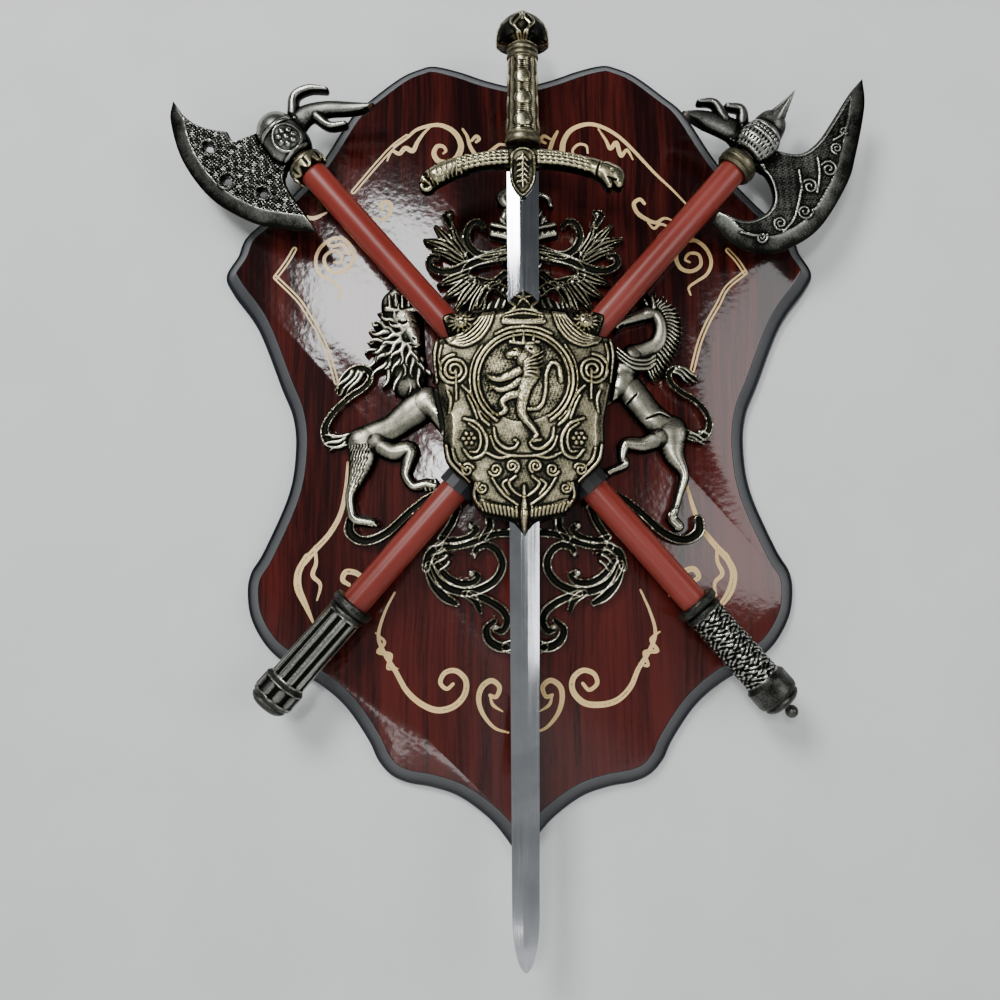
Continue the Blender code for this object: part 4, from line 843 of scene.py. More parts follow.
def plain_finish(name, colour_name, roughness, variation, scale, strength, metallic=0.0):
    """A painted, printed or moulded finish with mottled colour and a fine surface."""
    found = bpy.data.materials.get(name)
    if found:
        return found
    made, tree, shader, where = new_material(name)
    mottle = place_group(tree, "Mottle", {
        "Color": colour(colour_name), "Variation": variation, "Scale": scale, "Vector": where})
    tree.links.new(mottle.outputs["Color"], shader.inputs["Base Color"])
    tree.links.new(remap(tree, mottle.outputs["Mask"], 0.3, 0.7, roughness * 0.85, roughness * 1.15),
                   shader.inputs["Roughness"])
    shader.inputs["Metallic"].default_value = metallic
    bump(tree, shader, mottle.outputs["Height"], strength, 0.0002)
    return made


def lacquered_wood():
    """Upright grain in two reds under a gloss lacquer with the skin of an orange, and painted light that makes the wood
    lighter toward the bottom and darker toward the top.
    """
    made, tree, shader, where = new_material("Lacquered wood")
    stretched = shader_node(tree, "ShaderNodeMapping", {"Vector": where, "Scale": (1.0, 1.0, 0.035)}).outputs[0]
    warp = noise(tree, where, 9.0, 2.0)
    moved = shader_node(tree, "ShaderNodeVectorMath", {0: stretched}, operation="ADD")
    shift = shader_node(tree, "ShaderNodeCombineXYZ", {"X": arithmetic(tree, "MULTIPLY", warp, 0.012)}).outputs[0]
    tree.links.new(shift, moved.inputs[1])
    broad = noise(tree, moved.outputs[0], 45.0, 4.0, 0.55)
    streak = noise(tree, moved.outputs[0], 420.0, 4.0, 0.65)
    pores = noise(tree, moved.outputs[0], 1400.0, 2.0, 0.6)
    share = arithmetic(tree, "ADD", arithmetic(tree, "MULTIPLY", broad, 0.55),
                       arithmetic(tree, "MULTIPLY", streak, 0.45))
    share = arithmetic(tree, "SUBTRACT", share, remap(tree, pores, 0.62, 0.72, 0.0, 0.12))
    height_up = shader_node(tree, "ShaderNodeSeparateXYZ", {0: where}).outputs["Z"]
    # Painted light: the grain is shifted lighter toward the bottom and darker toward the top, standing in for how the
    # lamps fall on the board.
    painted_light_by_height = remap(tree, height_up, -0.25, 0.25, 0.06, -0.06)
    share = arithmetic(tree, "ADD", share, painted_light_by_height)
    tint = blend_colour(tree, remap(tree, share, 0.36, 0.66), colour("wood_dark"), colour("wood_light"))
    tree.links.new(tint, shader.inputs["Base Color"])
    shader.inputs["Roughness"].default_value = 0.13
    shader.inputs["IOR"].default_value = 1.5
    peel = noise(tree, where, 260.0, 2.0, 0.4)
    bump(tree, shader, peel, 0.10, 0.0012)
    return made


def polished_steel():
    """A polished blade with faint lengthwise streaks of the wheel."""
    made, tree, shader, where = new_material("Polished steel")
    stretched = shader_node(tree, "ShaderNodeMapping", {"Vector": where, "Scale": (1.0, 1.0, 0.02)}).outputs[0]
    streak = noise(tree, stretched, 900.0, 3.0)
    haze = noise(tree, where, 40.0, 3.0)
    tint = blend_colour(tree, remap(tree, haze, 0.35, 0.65), colour("steel"), (0.58, 0.60, 0.64, 1.0))
    tree.links.new(tint, shader.inputs["Base Color"])
    tree.links.new(remap(tree, streak, 0.3, 0.7, 0.06, 0.14), shader.inputs["Roughness"])
    shader.inputs["Metallic"].default_value = 1.0
    bump(tree, shader, streak, 0.06, 0.0001)
    return made


def wall_finish():
    """A pale plain wall that is seen through from behind, so the plaque's back can be looked at."""
    made, tree, shader, where = new_material("Pale wall")
    mottle = place_group(tree, "Mottle", {
        "Color": colour("wall"), "Variation": 0.02, "Scale": 160.0, "Vector": where})
    tree.links.new(mottle.outputs["Color"], shader.inputs["Base Color"])
    shader.inputs["Roughness"].default_value = 0.8
    clear = tree.nodes.new("ShaderNodeBsdfTransparent")
    behind = tree.nodes.new("ShaderNodeNewGeometry").outputs["Backfacing"]
    mixed = shader_node(tree, "ShaderNodeMixShader", {
        0: behind, 1: shader.outputs["BSDF"], 2: clear.outputs["BSDF"]})
    tree.links.new(mixed.outputs[0], tree.nodes["Material Output"].inputs["Surface"])
    return made


def brass():
    return aged_metal("Antique brass", "brass", -0.35, 0.7)


def pewter():
    return aged_metal("Antique pewter", "pewter", -0.2, 0.75)


def gunmetal():
    return aged_metal("Gunmetal", "gunmetal", -0.2, 0.9)


def painted_shaft():
    return plain_finish("Shaft paint", "paint", 0.36, 0.12, 500.0, 0.12)


def meet_on_axis(ring, moved):
    """Near the tip both sides of a ring that is moved in cross the axis: there they meet at one point on it."""
    crossed = (moved[:, 0] * np.sign(ring[:, 0]) < 0.3) & (ring[:, 1] < 0)
    if crossed.sum() < 2:
        return moved
    sound = moved[(ring[:, 0] > 0) & ~crossed & (ring[:, 1] < 0)]
    a, b = sound[np.argsort(sound[:, 1])[:2]]
    level = a[1] - a[0] * (b[1] - a[1]) / (b[0] - a[0])
    return np.where(crossed[:, None], np.array([0.0, level]), moved)


class PLAQUE_OT_board(bpy.types.Operator):
    """Make the board: rings of its outline from the back, round the edge, up a hollow bevel and onto the face."""

    bl_idname = "plaque.board"
    bl_label = "Board"

    def execute(self, context):
        ring = mirrored(BOARD_HALF, 8)
        run = np.roll(ring, -1, axis=0) - np.roll(ring, 1, axis=0)
        inward = np.column_stack((run[:, 1], -run[:, 0])) / np.linalg.norm(run, axis=1)[:, None]
        inward *= -np.sign((ring * inward).sum())
        wide = size("rim_width")
        edge, top = 5.0, BOARD_FACE
        steps = [(0.06, 0.0), (0.0, 0.6), (0.0, edge - 0.5), (0.03, edge)]
        steps += [(0.03 + 0.9 * t, edge + (top - 0.7 - edge) * (1 - math.cos(t * math.pi / 2)) ** 0.8)
                  for t in np.linspace(0.12, 1, 8)]
        steps += [(0.95, top - 0.3), (1.0, top)]
        count = len(ring)
        points = []
        for share, depth in steps:
            at = meet_on_axis(ring, ring + inward * share * wide)
            points.append(np.column_stack((at[:, 0] + BOARD_SHIFT, np.full(count, -depth), at[:, 1])))
        ids = np.arange(len(steps) * count).reshape(len(steps), count)
        faces = ring_faces(ids[:-1], ids[1:]).tolist() + [ids[0][::-1].tolist(), ids[-1].tolist()]
        rim = plain_finish("Black rim", "rim", 0.24, 0.3, 300.0, 0.15)
        back = plain_finish("Fibreboard", "back", 0.8, 0.15, 700.0, 0.5)
        made = add_mesh("lacquered_board", np.vstack(points), faces, (lacquered_wood(), rim, back), sharp=32)
        index = np.ones(len(made.data.polygons), np.int32)
        index[-2], index[-1] = 2, 0
        made.data.polygons.foreach_set("material_index", index)
        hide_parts("board")
        return {"FINISHED"}


class PLAQUE_OT_print(bpy.types.Operator):
    """Make the printed scrolls: a film whose outline is a set of tapered strokes, some with a dark line left out."""

    bl_idname = "plaque.print"
    bl_label = "Printed scrolls"

    def execute(self, context):
        film = Relief((-168, -206), (150, 202), 0.5, size("print_thickness"))
        for points, first, middle, last in PRINT_BANDS:
            t = np.linspace(-1, 1, len(points))
            width = middle + np.where(t < 0, first - middle, last - middle) * np.abs(t) ** 1.5
            rows = np.column_stack((np.array(points, float), width))
            film.stroke(rows, 0.0, profile=flat)
            if middle > 1.25:
                place, _, share, side, along = film.near(smooth_line(rows * (1, 1, 0.16)))
                gap = np.where(share < 1, -0.1, 9.0)
                film.inside[place] = np.minimum(film.inside[place], gap)
        for points in PRINT_DOUBLES:
            rows = np.column_stack((np.array(points, float), np.full(len(points), DOUBLE_HALF)))
            place, inside, share, side, along = film.near(smooth_line(rows))
            inside = np.minimum(inside, (share - DOUBLE_GAP_SHARE) * DOUBLE_HALF)
            film.lay(place, inside, np.full(inside.shape, film.edge), film.edge)
        gold = plain_finish("Printed gold", "print_gold", 0.3, 0.08, 600.0, 0.05)
        made = film.piece("printed_scrolls", gold, lambda x, z, front: 0 * x, on_board(BOARD_FACE + 0.02), 1.0)
        return {"FINISHED"}


def fan_of_locks(relief, centre, angles, inner, outer, width, bend, height, base, droop=0.0):
    """Locks that spread from a centre: from the inner to the outer radius at each angle, the tips pulled down."""
    for k, (angle, reach) in enumerate(zip(angles, outer)):
        turn = math.radians(angle)
        way = np.array([math.cos(turn), math.sin(turn)])
        root = np.array(centre) + inner * way
        tip = np.array(centre) + reach * way + (0, -droop)
        relief.stroke(lock(root, tip, width, bend * (1 if k % 2 else -1)), height, base, round_bar, 0.3)


def draw_lion(relief, high):
    """The lion: tail, limbs and body melted together, fur cut into the haunch, and a mane of locks."""
    relief.stroke(FEET_SCROLL, 0.6 * high, profile=gutter)
    relief.stroke(LION_TAIL, 0.5 * high, profile=gutter)
    for root, tip in (((-106, 28), (-118, 12)), ((-110, 28), (-121, 15)), ((-104, 27), (-114, 12))):
        relief.stroke(lock(root, tip, 2.0, 0.8), 0.5 * high, 0.1 * high)
    for root, tip in (((-114, -15), (-128, -20)), ((-114, -18), (-124, -24)), ((-112, -13), (-129, -14))):
        relief.stroke(lock(root, tip, 2.2, 0.8), 0.5 * high)
    for stroke in LION_BODY:
        relief.stroke(stroke, 0.95 * high, blend=2.5)
    fur = [lock((x, z), (x - 1.2, z - 5), 0.55, 0.3) for k, z in enumerate(range(-20, -48, -4))
           for x in np.arange(-110 + k * 0.6, -97 - k * 0.9, 1.9) - 0.5 * (k % 2)]
    relief.carve(fur, -0.5)
    toes = [((-103 + 2.2 * k, -66.5 - 0.6 * k, 1.6), (-100 + 2.2 * k, -70 - 0.3 * k, 1.4)) for k in range(4)]
    toes += [((-64 + 2.6 * k, -44 + 0.4 * k, 1.7), (-62 + 2.6 * k, -48.5 + 0.3 * k, 1.4)) for k in range(4)]
    for toe in toes:
        relief.stroke(toe, 0.5 * high, 0.35 * high)
    for stroke in LION_MANE:
        relief.stroke(stroke, 0.62 * high, blend=1.5)
    centre = (-74, 50)
    layers = (
        (22, np.linspace(95, 300, 15), np.interp(np.linspace(95, 300, 15), (95, 140, 180, 220, 260, 300),
                                                (27, 27, 26, 34, 37, 31)), 2.6, 0.30),
        (16, np.linspace(104, 294, 13), np.full(13, 25.0), 2.4, 0.48),
        (10, np.linspace(96, 290, 11), np.full(11, 18.0), 2.2, 0.62),
    )
    for inner, angles, outer, width, base in layers:
        fan_of_locks(relief, centre, angles, inner - 5, outer, width, 1.4, 0.32 * high, base * high, 2.0)
    relief.stroke(((-77, 62, 7), (-73, 52, 6.5)), 0.35 * high, 0.6 * high, blend=1.0)
    relief.stroke(((-72, 53, 4), (-69, 46, 3.4)), 0.3 * high, 0.75 * high, blend=1.0)
    relief.carve([((-80, 60, 0.9), (-77, 59, 1.1), (-75, 60, 0.8)), ((-71, 60, 0.8), (-69, 59, 1), (-67, 60, 0.7)),
                  ((-73, 45, 0.6), (-69, 44, 0.8), (-66, 46, 0.6)), ((-71, 49, 0.5), (-69.5, 48, 0.7))], -1.1)
    relief.balls(((-77.4, 60.2, 1.0), (-69.4, 60.1, 0.9)), high * 0.98)
    crown = [((-86 + 4 * k, 70 + (k % 2), 1.4), (-86.5 + 4.2 * k, 77 + (k % 2), 1.0)) for k in range(5)]
    for point in crown + [((-88, 69, 2), (-78, 67, 2.2), (-69, 69, 2))]:
        relief.stroke(point, 0.3 * high, 0.5 * high)


def draw_horse(relief, high):
    """The horse: tail, body and neck melted together, a mane of short locks, and bands at the neck's foot."""
    relief.stroke(other_side((FEET_SCROLL,))[0], 0.6 * high, profile=gutter)
    relief.stroke(HORSE_TAIL, 0.5 * high, profile=gutter)
    for root, tip in (((98, 29), (111, 20)), ((100, 30), (112, 24)), ((97, 27), (107, 19))):
        relief.stroke(lock(root, tip, 1.8, 0.7), 0.45 * high, 0.1 * high)
    for root, tip in (((106, -13), (119, -18)), ((105, -15), (116, -20)), ((112, -12), (120, -13))):
        relief.stroke(lock(root, tip, 1.9, 0.7), 0.45 * high)
    for stroke in HORSE_MANE:
        relief.stroke(stroke, 0.35 * high)
    for stroke in HORSE_BODY:
        relief.stroke(stroke, 0.95 * high, blend=2.5)
    for stroke in HORSE_NECK:
        relief.stroke(stroke, 0.85 * high, blend=1.5)
    crest = smooth_line(((83, 72), (90, 69), (94, 61), (93, 52), (89, 43), (83, 34), (77, 28)), 4)
    for k in range(1, len(crest) - 1):
        run = crest[k + 1] - crest[k - 1]
        out = np.array([-run[1], run[0]]) / np.hypot(*run)
        tip = crest[k] + 8.5 * out + (0, -3.5)
        relief.stroke(lock(crest[k] - 2 * out, tip, 1.35, 0.5), 0.3 * high, 0.42 * high)
    for root, tip in (((84, 70), (80, 79)), ((85, 71), (85, 80)), ((87, 71), (91, 78)), ((82, 69), (76, 76))):
        relief.stroke(lock(root, tip, 1.5, 0.4), 0.4 * high, 0.2 * high)
    for k in range(3):
        d = 2.6 * k
        relief.stroke(((60 - 0.5 * k, 42 - d, 1.1), (69, 35 - d, 1.4), (79, 34 - d, 1.3), (84, 37 - d, 1)),
                      0.28 * high, 0.72 * high)
    relief.carve([((64, 57.5, 0.5), (61.5, 56, 0.6)), ((66, 62.5, 0.6), (68.5, 63, 0.6)),
                  ((61, 58.6, 0.4), (60.2, 57.6, 0.5))], -0.9)
    relief.carve([((78, -4, 0.8), (86, -1, 0.9), (92, -3, 0.7)), ((72, 12, 0.7), (66, 6, 0.8)),
                  ((90, -60, 0.5), (98, -61, 0.5))], -0.7)
    feather = [lock((92 + k, -60), (90.5 + 1.6 * k, -67), 0.7, 0.2) for k in range(5)]
    relief.carve(feather, 0.6)


def draw_mantling(relief, high):
    """Mantling and crest: ribbed leaves spread like fans, gutter scrolls with balls in their curls, a helm."""
    relief.stroke(BACKING, 0.3 * high)
    for stroke in CREST:
        relief.stroke(stroke, 0.7 * high, blend=1.0)
    for group, profile in ((FAN_LEAVES, ribbed), (MANTLING_BANDS, gutter)):
        for stroke in group + other_side(group):
            relief.stroke(stroke, 0.7 * high, profile=profile)
    balls = [(side * x, z, r) for x, z, r in MANTLING_BALLS for side in (-1, 1)]
    relief.balls(balls, 0.85 * high)
    relief.carve([arc(10, 100, 7, 0.9, -80, 80), arc(8, 100, 4, 1.2, -70, 70), arc(-10, 100, 7, 0.9, 100, 260)],
                 0.9, spans=2)
    pleats = [((side * (4 + 3 * k), 88, 0.9), (side * (7 + 4.4 * k), 76, 1.0), (side * (11 + 5 * k), 62, 0.9))
              for k in range(6) for side in (-1, 1)]
    relief.carve(pleats, 1.3)
    beads = [((x, 118.5 + 0.004 * x * x, 1.1), (x, 119 + 0.004 * x * x, 1.1)) for x in range(-20, 21, 4)]
    relief.carve(beads + [((-22, 124.5, 0.9), (0, 121, 1), (22, 124.5, 0.9))], 0.9)
    plumes = [lock((x, 126), (1.6 * x, 137 - 0.02 * x * x), 1.3, 0.6) for x in range(-12, 13, 4)]
    relief.carve(plumes, 1.1)


def draw_lower_scrolls(relief, high):
    """The scrolls below: gutter bands, the leaf lobes at their sides, and balls in the curls."""
    relief.stroke(BACKING, 0.3 * high)
    for stroke in LOWER_BANDS + other_side(LOWER_BANDS):
        relief.stroke(stroke, 0.58 * high, profile=gutter)
    for side in (-1, 1):
        for k in range(4):
            root, tip = (side * (52 - 1.5 * k), -82 - 4 * k), (side * (62 - 2.4 * k), -86 - 5.2 * k)
            relief.stroke(lock(root, tip, 1.5, 0.5), 0.4 * high, 0.25 * high)
    balls = [(side * x, z, r) for x, z, r in LOWER_BALLS for side in (-1, 1)]
    relief.balls(balls, 0.75 * high)


class PLAQUE_OT_arms(bpy.types.Operator):
    """Make the coat of arms: four height fields, one each for the mantling, the lion, the horse and the scrolls."""

    bl_idname = "plaque.arms"
    bl_label = "Coat of arms"

    def execute(self, context):
        high, cell = size("relief"), size("casting_grid")
        parts = (
            ("arms_mantling", (-70, -76), (70, 154), draw_mantling),
            ("arms_lion", (-134, -88), (-34, 88), draw_lion),
            ("arms_horse", (30, -88), (126, 84), draw_horse),
            ("arms_scrolls", (-70, -156), (70, 10), draw_lower_scrolls),
        )
        shield = mirrored(CARTOUCHE_HALF)
        covered = ARMS_EDGE + 0.35 * high
        clip = CLIP_MIDDLE * np.array([math.cos(SHAFT_ANGLE), -math.sin(SHAFT_ANGLE)])
        for name, low, far, draw in parts:
            relief = Relief(low, far, cell, ARMS_EDGE)
            draw(relief, high)
            hidden = inside_outline(relief.x, relief.z, shield) > -4
            hidden |= np.hypot(np.abs(relief.x) - clip[0], relief.z - clip[1]) < CLIP_ROOM
            relief.front = np.where(hidden, np.minimum(relief.front, covered), relief.front)
            made = relief.piece(name, pewter(), lambda x, z, front: 0 * x, on_board(SEAT))
            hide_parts("arms_casting")
        return {"FINISHED"}


def cartouche_lines():
    """The cartouche's drawn lines in mm, by height: (strokes, height)."""
    both = []
    for k in range(5):
        d = 2.3 * k
        both.append(((-45 - 0.2 * d, 38 + 0.3 * d, 0.9), (-36 - 0.2 * d, 36 + 0.75 * d, 1.0),
                     (-27 - 0.8 * d, 40 + 0.6 * d, 1.0), (-21 - 0.9 * d, 48 + 0.2 * d, 0.95),
                     (-18 - 0.7 * d, 57 - 0.1 * d, 0.8)))
    both += [
        ((-53, 40, 0.9), (-54.5, 29, 1.0), (-53, 14, 0.9)),
        ((-50, 37, 0.8), (-51.5, 29, 0.8), (-50, 21, 0.8)),
        ((-41, 21, 1.1), (-40.6, 3, 0.8)),
        ((-46, 8, 0.8), (-44, 2, 1.0), (-45, -5, 0.8)),
        ((-37, 11, 0.9), (-33, 7, 1.1), (-29, 0, 1.2), (-26, -8, 1.2), (-21, -13, 1.0)),
        ((-34, 5, 0.7), (-31, -1, 0.9), (-28, -9, 0.9)),
        ((-36, -9, 1.0), (-28, -12, 1.2), (-22.5, -21, 1.2), (-24, -30, 1.2), (-31, -33, 1.1), (-36, -28, 0.9)),
        ((-33, -12, 0.8), (-27, -17, 0.9), (-26, -24, 0.9), (-28, -29, 0.8), (-32, -29, 0.7)),
        ((-18, -15, 0.9), (-16.5, -22, 1.1), (-11, -27, 1.2), (-6, -27, 1.1), (-3.6, -24, 0.9), (-5.6, -22, 0.8)),
        ((-20, -20, 0.8), (-17, -27, 0.9), (-10, -31, 1.0), (0, -32, 0.9)),
        ((-22, -30, 0.9), (-15, -33, 1.0), (-8, -32, 0.8)),
        ((-47, -25, 1.0), (-45, -34, 1.1), (-39, -41, 1.0), (-33, -47, 0.9)),
        ((-43, -27, 0.8), (-41, -34, 0.9), (-36, -39, 0.8)),
        ((-19, -45, 0.9), (-13, -54, 1.0), (-4, -61, 1.0)),
        ((-29, -48, 0.9), (-30, -56, 1.0), (-26, -62, 1.0)),
        ((-17, 43, 0.9), (-9, 46.5, 1.0), (0, 47.5, 1.0)),
        ((-5, -44, 1.0), (-9, -48, 1.1), (-6, -53, 1.0), (0, -57, 0.9)),
        ((-10, -46, 0.8), (-13, -49, 0.9), (-9, -55, 0.8)),
        ((-13, 61, 0.9), (-9, 64, 1.1), (-5, 60, 1.0), (-8, 58, 0.8)),
    ]
    curls = [
        spiral(-42, 21, 9.6, 1.6, 2.6, 90, 1.0, 0.9),
        spiral(-7, -38, 4.0, 0.8, 1.7, -60, 1.0, 0.8),
        spiral(-17, -40, 4.0, 0.8, 1.5, 200, 0.9, 0.7),
        spiral(-34, -40, 4.0, 0.8, 1.5, 20, 0.9, 0.7),
        spiral(-25, -51, 3.4, 0.6, 1.5, 120, 0.8, 0.6),
    ]
    flower = petals(-33, -21, (3.1, 3.1), (3.3, 3.3), (1.3, 1.3), 6)
    flower.append(((-33, -21, 1.2), (-33, -20.9, 1.2)))
    strokes = list(both) + list(other_side(both))
    rounds = curls + [curl * (-1, 1, 1) for curl in curls]
    rounds += [arc(0, 15, 30, 1.1, -57, 237), arc(0, 15, 27.4, 0.7, -57, 237), arc(0, 15, 32.6, 0.6, -50, 40),
               arc(0, 15, 32.6, 0.6, 140, 230)]
    return strokes + flower + list(other_side(flower)), rounds


RAMPANT = (
    (((2, 27, 6.4), (4, 19, 6), (1, 11, 4.6), (-1, 3, 3.6)), 2.4),
    (((-1, 3, 3.6), (-1, -6, 3.0), (4, -13, 2.2), (7.5, -19, 1.6), (5, -22.5, 1.5), (10, -22, 1.2)), 2.0),
    (((-1, 6, 3.4), (-8, 5, 2.6), (-13, 1, 2.0), (-11, -4, 1.8), (-15, -6.5, 1.5), (-18.5, -6, 1.2)), 2.0),
    (((-2, 20, 3.4), (-9, 17, 2.8), (-15, 15, 2.0), (-20, 16, 1.7)), 2.0),
    (((-2, 14, 2.8), (-8, 10, 2.2), (-14, 8.5, 1.8), (-18, 10, 1.5)), 1.7),
    (((3, -3.5, 1.3), (10, -2, 1.3), (13, 7, 1.2), (13.6, 18, 1.2), (17, 25, 1.3), (21, 23, 1.4),
      (22.6, 14, 1.6)), 1.5),
    (((-4, 31, 3.6), (-9, 30, 2.2)), 2.2),
    (((6, 32, 4.4), (4, 34, 4)), 2.2),
)


class PLAQUE_OT_cartouche(bpy.types.Operator):
    """Make the cartouche: a dome over its outline with drawn lines, a ribbed border and a crowned lion on it, and
    behind it a pocket with a channel for each thing that passes through."""

    bl_idname = "plaque.cartouche"
    bl_label = "Cartouche"

    def execute(self, context):
        shell = Relief((-60, -82), (60, 76), size("fine_grid"), SHELL_TOP)
        corners = mirrored(CARTOUCHE_HALF, 8)
        x, z = shell.x, shell.z
        inside = shell.fill(corners, np.full(x.shape, SHELL_TOP))
        dome = 5.0 * np.sqrt(np.clip(1 - (x / 60) ** 2 - (z / 88) ** 2, 0, 1))
        shell.front += dome * np.clip(inside / 6, 0, 1)
        shell.front -= 1.2 * np.clip(1 - inside / 1.4, 0, 1)
        field = np.hypot(x, z - 15) < 26
        pebbles = np.sin(2.9 * x + 1.7 * np.sin(1.9 * z)) * np.sin(3.1 * z + 1.5 * np.sin(2.3 * x))
        shell.front += np.where(field, 0.22 * pebbles - 0.5, 0.10 * pebbles)
        strokes, rounds = cartouche_lines()
        shell.carve(strokes, 1.6)
        shell.carve(rounds, 1.5, spans=2)
        for side in (-1, 1):
            self.mask(shell, side)
        shell.carve([((-28, -60, 3.0), (-14, -64, 3.2), (0, -67, 3.2), (14, -64, 3.2), (28, -60, 3.0))], 1.0)
        ribs = [((t, -58.6 - 4.2 * (1 - (t / 30) ** 2), 0.95), (0.94 * t, -63.4 - 4.2 * (1 - (t / 30) ** 2), 0.8))
                for t in np.arange(-28.8, 29, 2.4) if abs(t) > 3]
        shell.carve(ribs, 1.2)
        shell.carve([((0, -50, 1.0), (0, -60, 1.8), (0, -69, 2.2), (0, -79, 0.7))], 2.4)
        shell.carve([((-12, 51, 1.8), (0, 50, 2.0), (12, 51, 1.8))], 1.2)
        beads = [((t, 51.6 + 0.01 * t * t, 0.85), (t, 51.7 + 0.01 * t * t, 0.85)) for t in np.arange(-12, 12.5, 1.8)]
        shell.carve(beads, 0.8)
        shell.carve([((-11, 56, 0.8), (0, 58.6, 0.9), (11, 56, 0.8)),
                     ((-12, 54, 0.6), (0, 56, 0.7), (12, 54, 0.6))], 1.1)
        star = [((0, 66, 1.3), (6.2 * math.cos(t), 66 + 6.2 * math.sin(t), 0.4))
                for t in np.radians((90, 18, 162, 234, 306))]
        shell.carve(star, 2.0)
        self.rampant(shell)
        pocket = POCKET_DEPTH - SHELL_BACK
        c, s = math.cos(SHAFT_ANGLE), math.sin(SHAFT_ANGLE)

        def back(x, z, front):
            edge = inside_outline(x, z, corners)
            behind = pocket * np.clip((edge - SHELL_WALL) / 1.5, 0, 1)
            for side in (-1, 1):
                off = np.abs(side * x * s - z * c)
                along = side * x * c + z * s
                radius = np.where(along < 0, BORE_RADIUS + CLIP_WALL, SHAFT_RADIUS) + NOTCH_ROOM
                room = np.sqrt(np.clip(radius**2 - off**2, 0, None))
                passage = np.where(off < radius, np.minimum(SHAFT_DEPTH - SHELL_BACK + room, pocket), 0)
                behind = np.maximum(behind, passage)
            return np.where(np.abs(x) < BLADE_HALF + NOTCH_ROOM, pocket, behind)

        made = shell.piece("cartouche_shell", brass(), back, on_board(SHELL_BACK), 0.06)
        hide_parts("cartouche")
        return {"FINISHED"}

    def mask(self, shell, side):
        """A small lion mask at an upper corner: brow, cheeks, muzzle and a ruff of locks."""
        def at(rows):
            return [(side * x, z, r) for x, z, r in rows]

        ruff = [at(lock((-38, 51), (-38 + 9 * math.cos(t), 51 + 7.5 * math.sin(t)), 1.6, 0.5))
                for t in np.linspace(0.3, 2 * math.pi + 0.1, 13, endpoint=False)]
        shell.carve(ruff, 1.8)
        shell.carve([at(((-38, 53, 4.4), (-38, 50, 3.8)))], 2.2)
        shell.carve([at(((-38, 49, 2.4), (-38, 46.6, 2.2)))], 1.1)
        shell.carve([at(((-40.2, 53.4, 0.8), (-39.4, 53, 0.8))), at(((-36.6, 53, 0.8), (-35.8, 53.4, 0.8))),
                     at(((-39.6, 46.8, 0.5), (-38, 46.2, 0.6), (-36.4, 46.8, 0.5)))], -1.1)

    def rampant(self, shell):
        """The crowned lion on the oval field: limbs as one layer, then claws, locks and crown."""
        layer = np.zeros(shell.front.shape)
        for points, height in RAMPANT:
            place, _, share, side, along = shell.near(smooth_line(points))
            rise = np.where(share < 1, height * round_bar(np.clip(share, 0, 1), side, along), 0)
            layer[place] = np.maximum(layer[place], rise)
        shell.front += layer
        locks = [lock((0.5, 17 + 1.5 * k), (10.5 + 0.6 * k, 16 + 3.6 * k), 1.1, 0.5) for k in range(6)]
        shell.carve(locks, 0.9)
        claws = [((x, z, 0.8), (x - 2.6, z + d, 0.4)) for x, z in ((-20, 16), (-18, 10), (-18, -6))
                 for d in (2.2, 0.4, -1.4)]
        crown = [((-6 + 6 * k, 38.5, 1.3), (-6.4 + 6.3 * k, 43, 0.6)) for k in range(3)]
        crown.append(((-8, 38, 1.2), (1, 37.2, 1.3), (9, 38, 1.2)))
        crown += [((-6.4 + 6.3 * k, 43.4, 1.0), (-6.4 + 6.3 * k, 43.5, 1.0)) for k in range(3)]
        shell.carve(claws + crown, 1.3)
        shell.carve([((-6, 32.4, 0.6), (-5, 32.2, 0.6)), ((3.6, 33.4, 0.7), (5, 33.2, 0.7)),
                     ((-9, 28.8, 0.4), (-6, 28.4, 0.5), (-4, 29, 0.4))], -0.9)


def head_base(shape, cut, beak):
    """The sheet of an axe head, thin at its cutting edge and rising over a band to a panel, and the strokes of its
    beak, cut off at the shaft's end."""
    head = Relief((160, -72), (320, 72), size("fine_grid"), 0.7)
    corners = outline(shape, 6)
    edge = smooth_line(np.column_stack((np.array(cut, float), np.zeros(len(cut)))), 8)[:, :2]
    away = np.full(head.x.shape, 1e3)
    for (ax, az), (bx, bz) in zip(edge, edge[1:]):
        dx, dz = bx - ax, bz - az
        t = np.clip(((head.x - ax) * dx + (head.z - az) * dz) / (dx * dx + dz * dz), 0, 1)
        away = np.minimum(away, np.hypot(head.x - ax - t * dx, head.z - az - t * dz))
    inside = inside_outline(head.x, head.z, corners)
    band = 0.7 + 2.9 * np.clip(away / 9, 0, 1)
    sides = 1.8 + 2.4 * np.clip(inside / 1.6, 0, 1)
    head.lay((slice(None), slice(None)), inside, np.minimum(band, sides), head.edge)
    for stroke in beak:
        head.stroke(stroke, BEAK_RELIEF, blend=1.0)
    head.keep(np.where(head.z < 0, head.x - HEAD_FOOT, 1.0))
    panel = np.minimum((away - 9.5) / 0.8, (inside - 1.6) / 0.8)
    return head, panel, away, inside


def socket(head, barrel):
    """The round barrel of a head over its shaft, with rings, laid after what stands beside it."""
    radius, foot = SOCKET_RADIUS, HEAD_FOOT
    bar = ((foot + radius, 0, radius), (foot + barrel, 0, 0.96 * radius))
    head.stroke(bar, radius - head.edge)
    rings = [((foot + a, -radius, 1.2), (foot + a, radius, 1.2)) for a in (1.6, 4.6, barrel - 1)]
    head.carve(rings, 1.0)


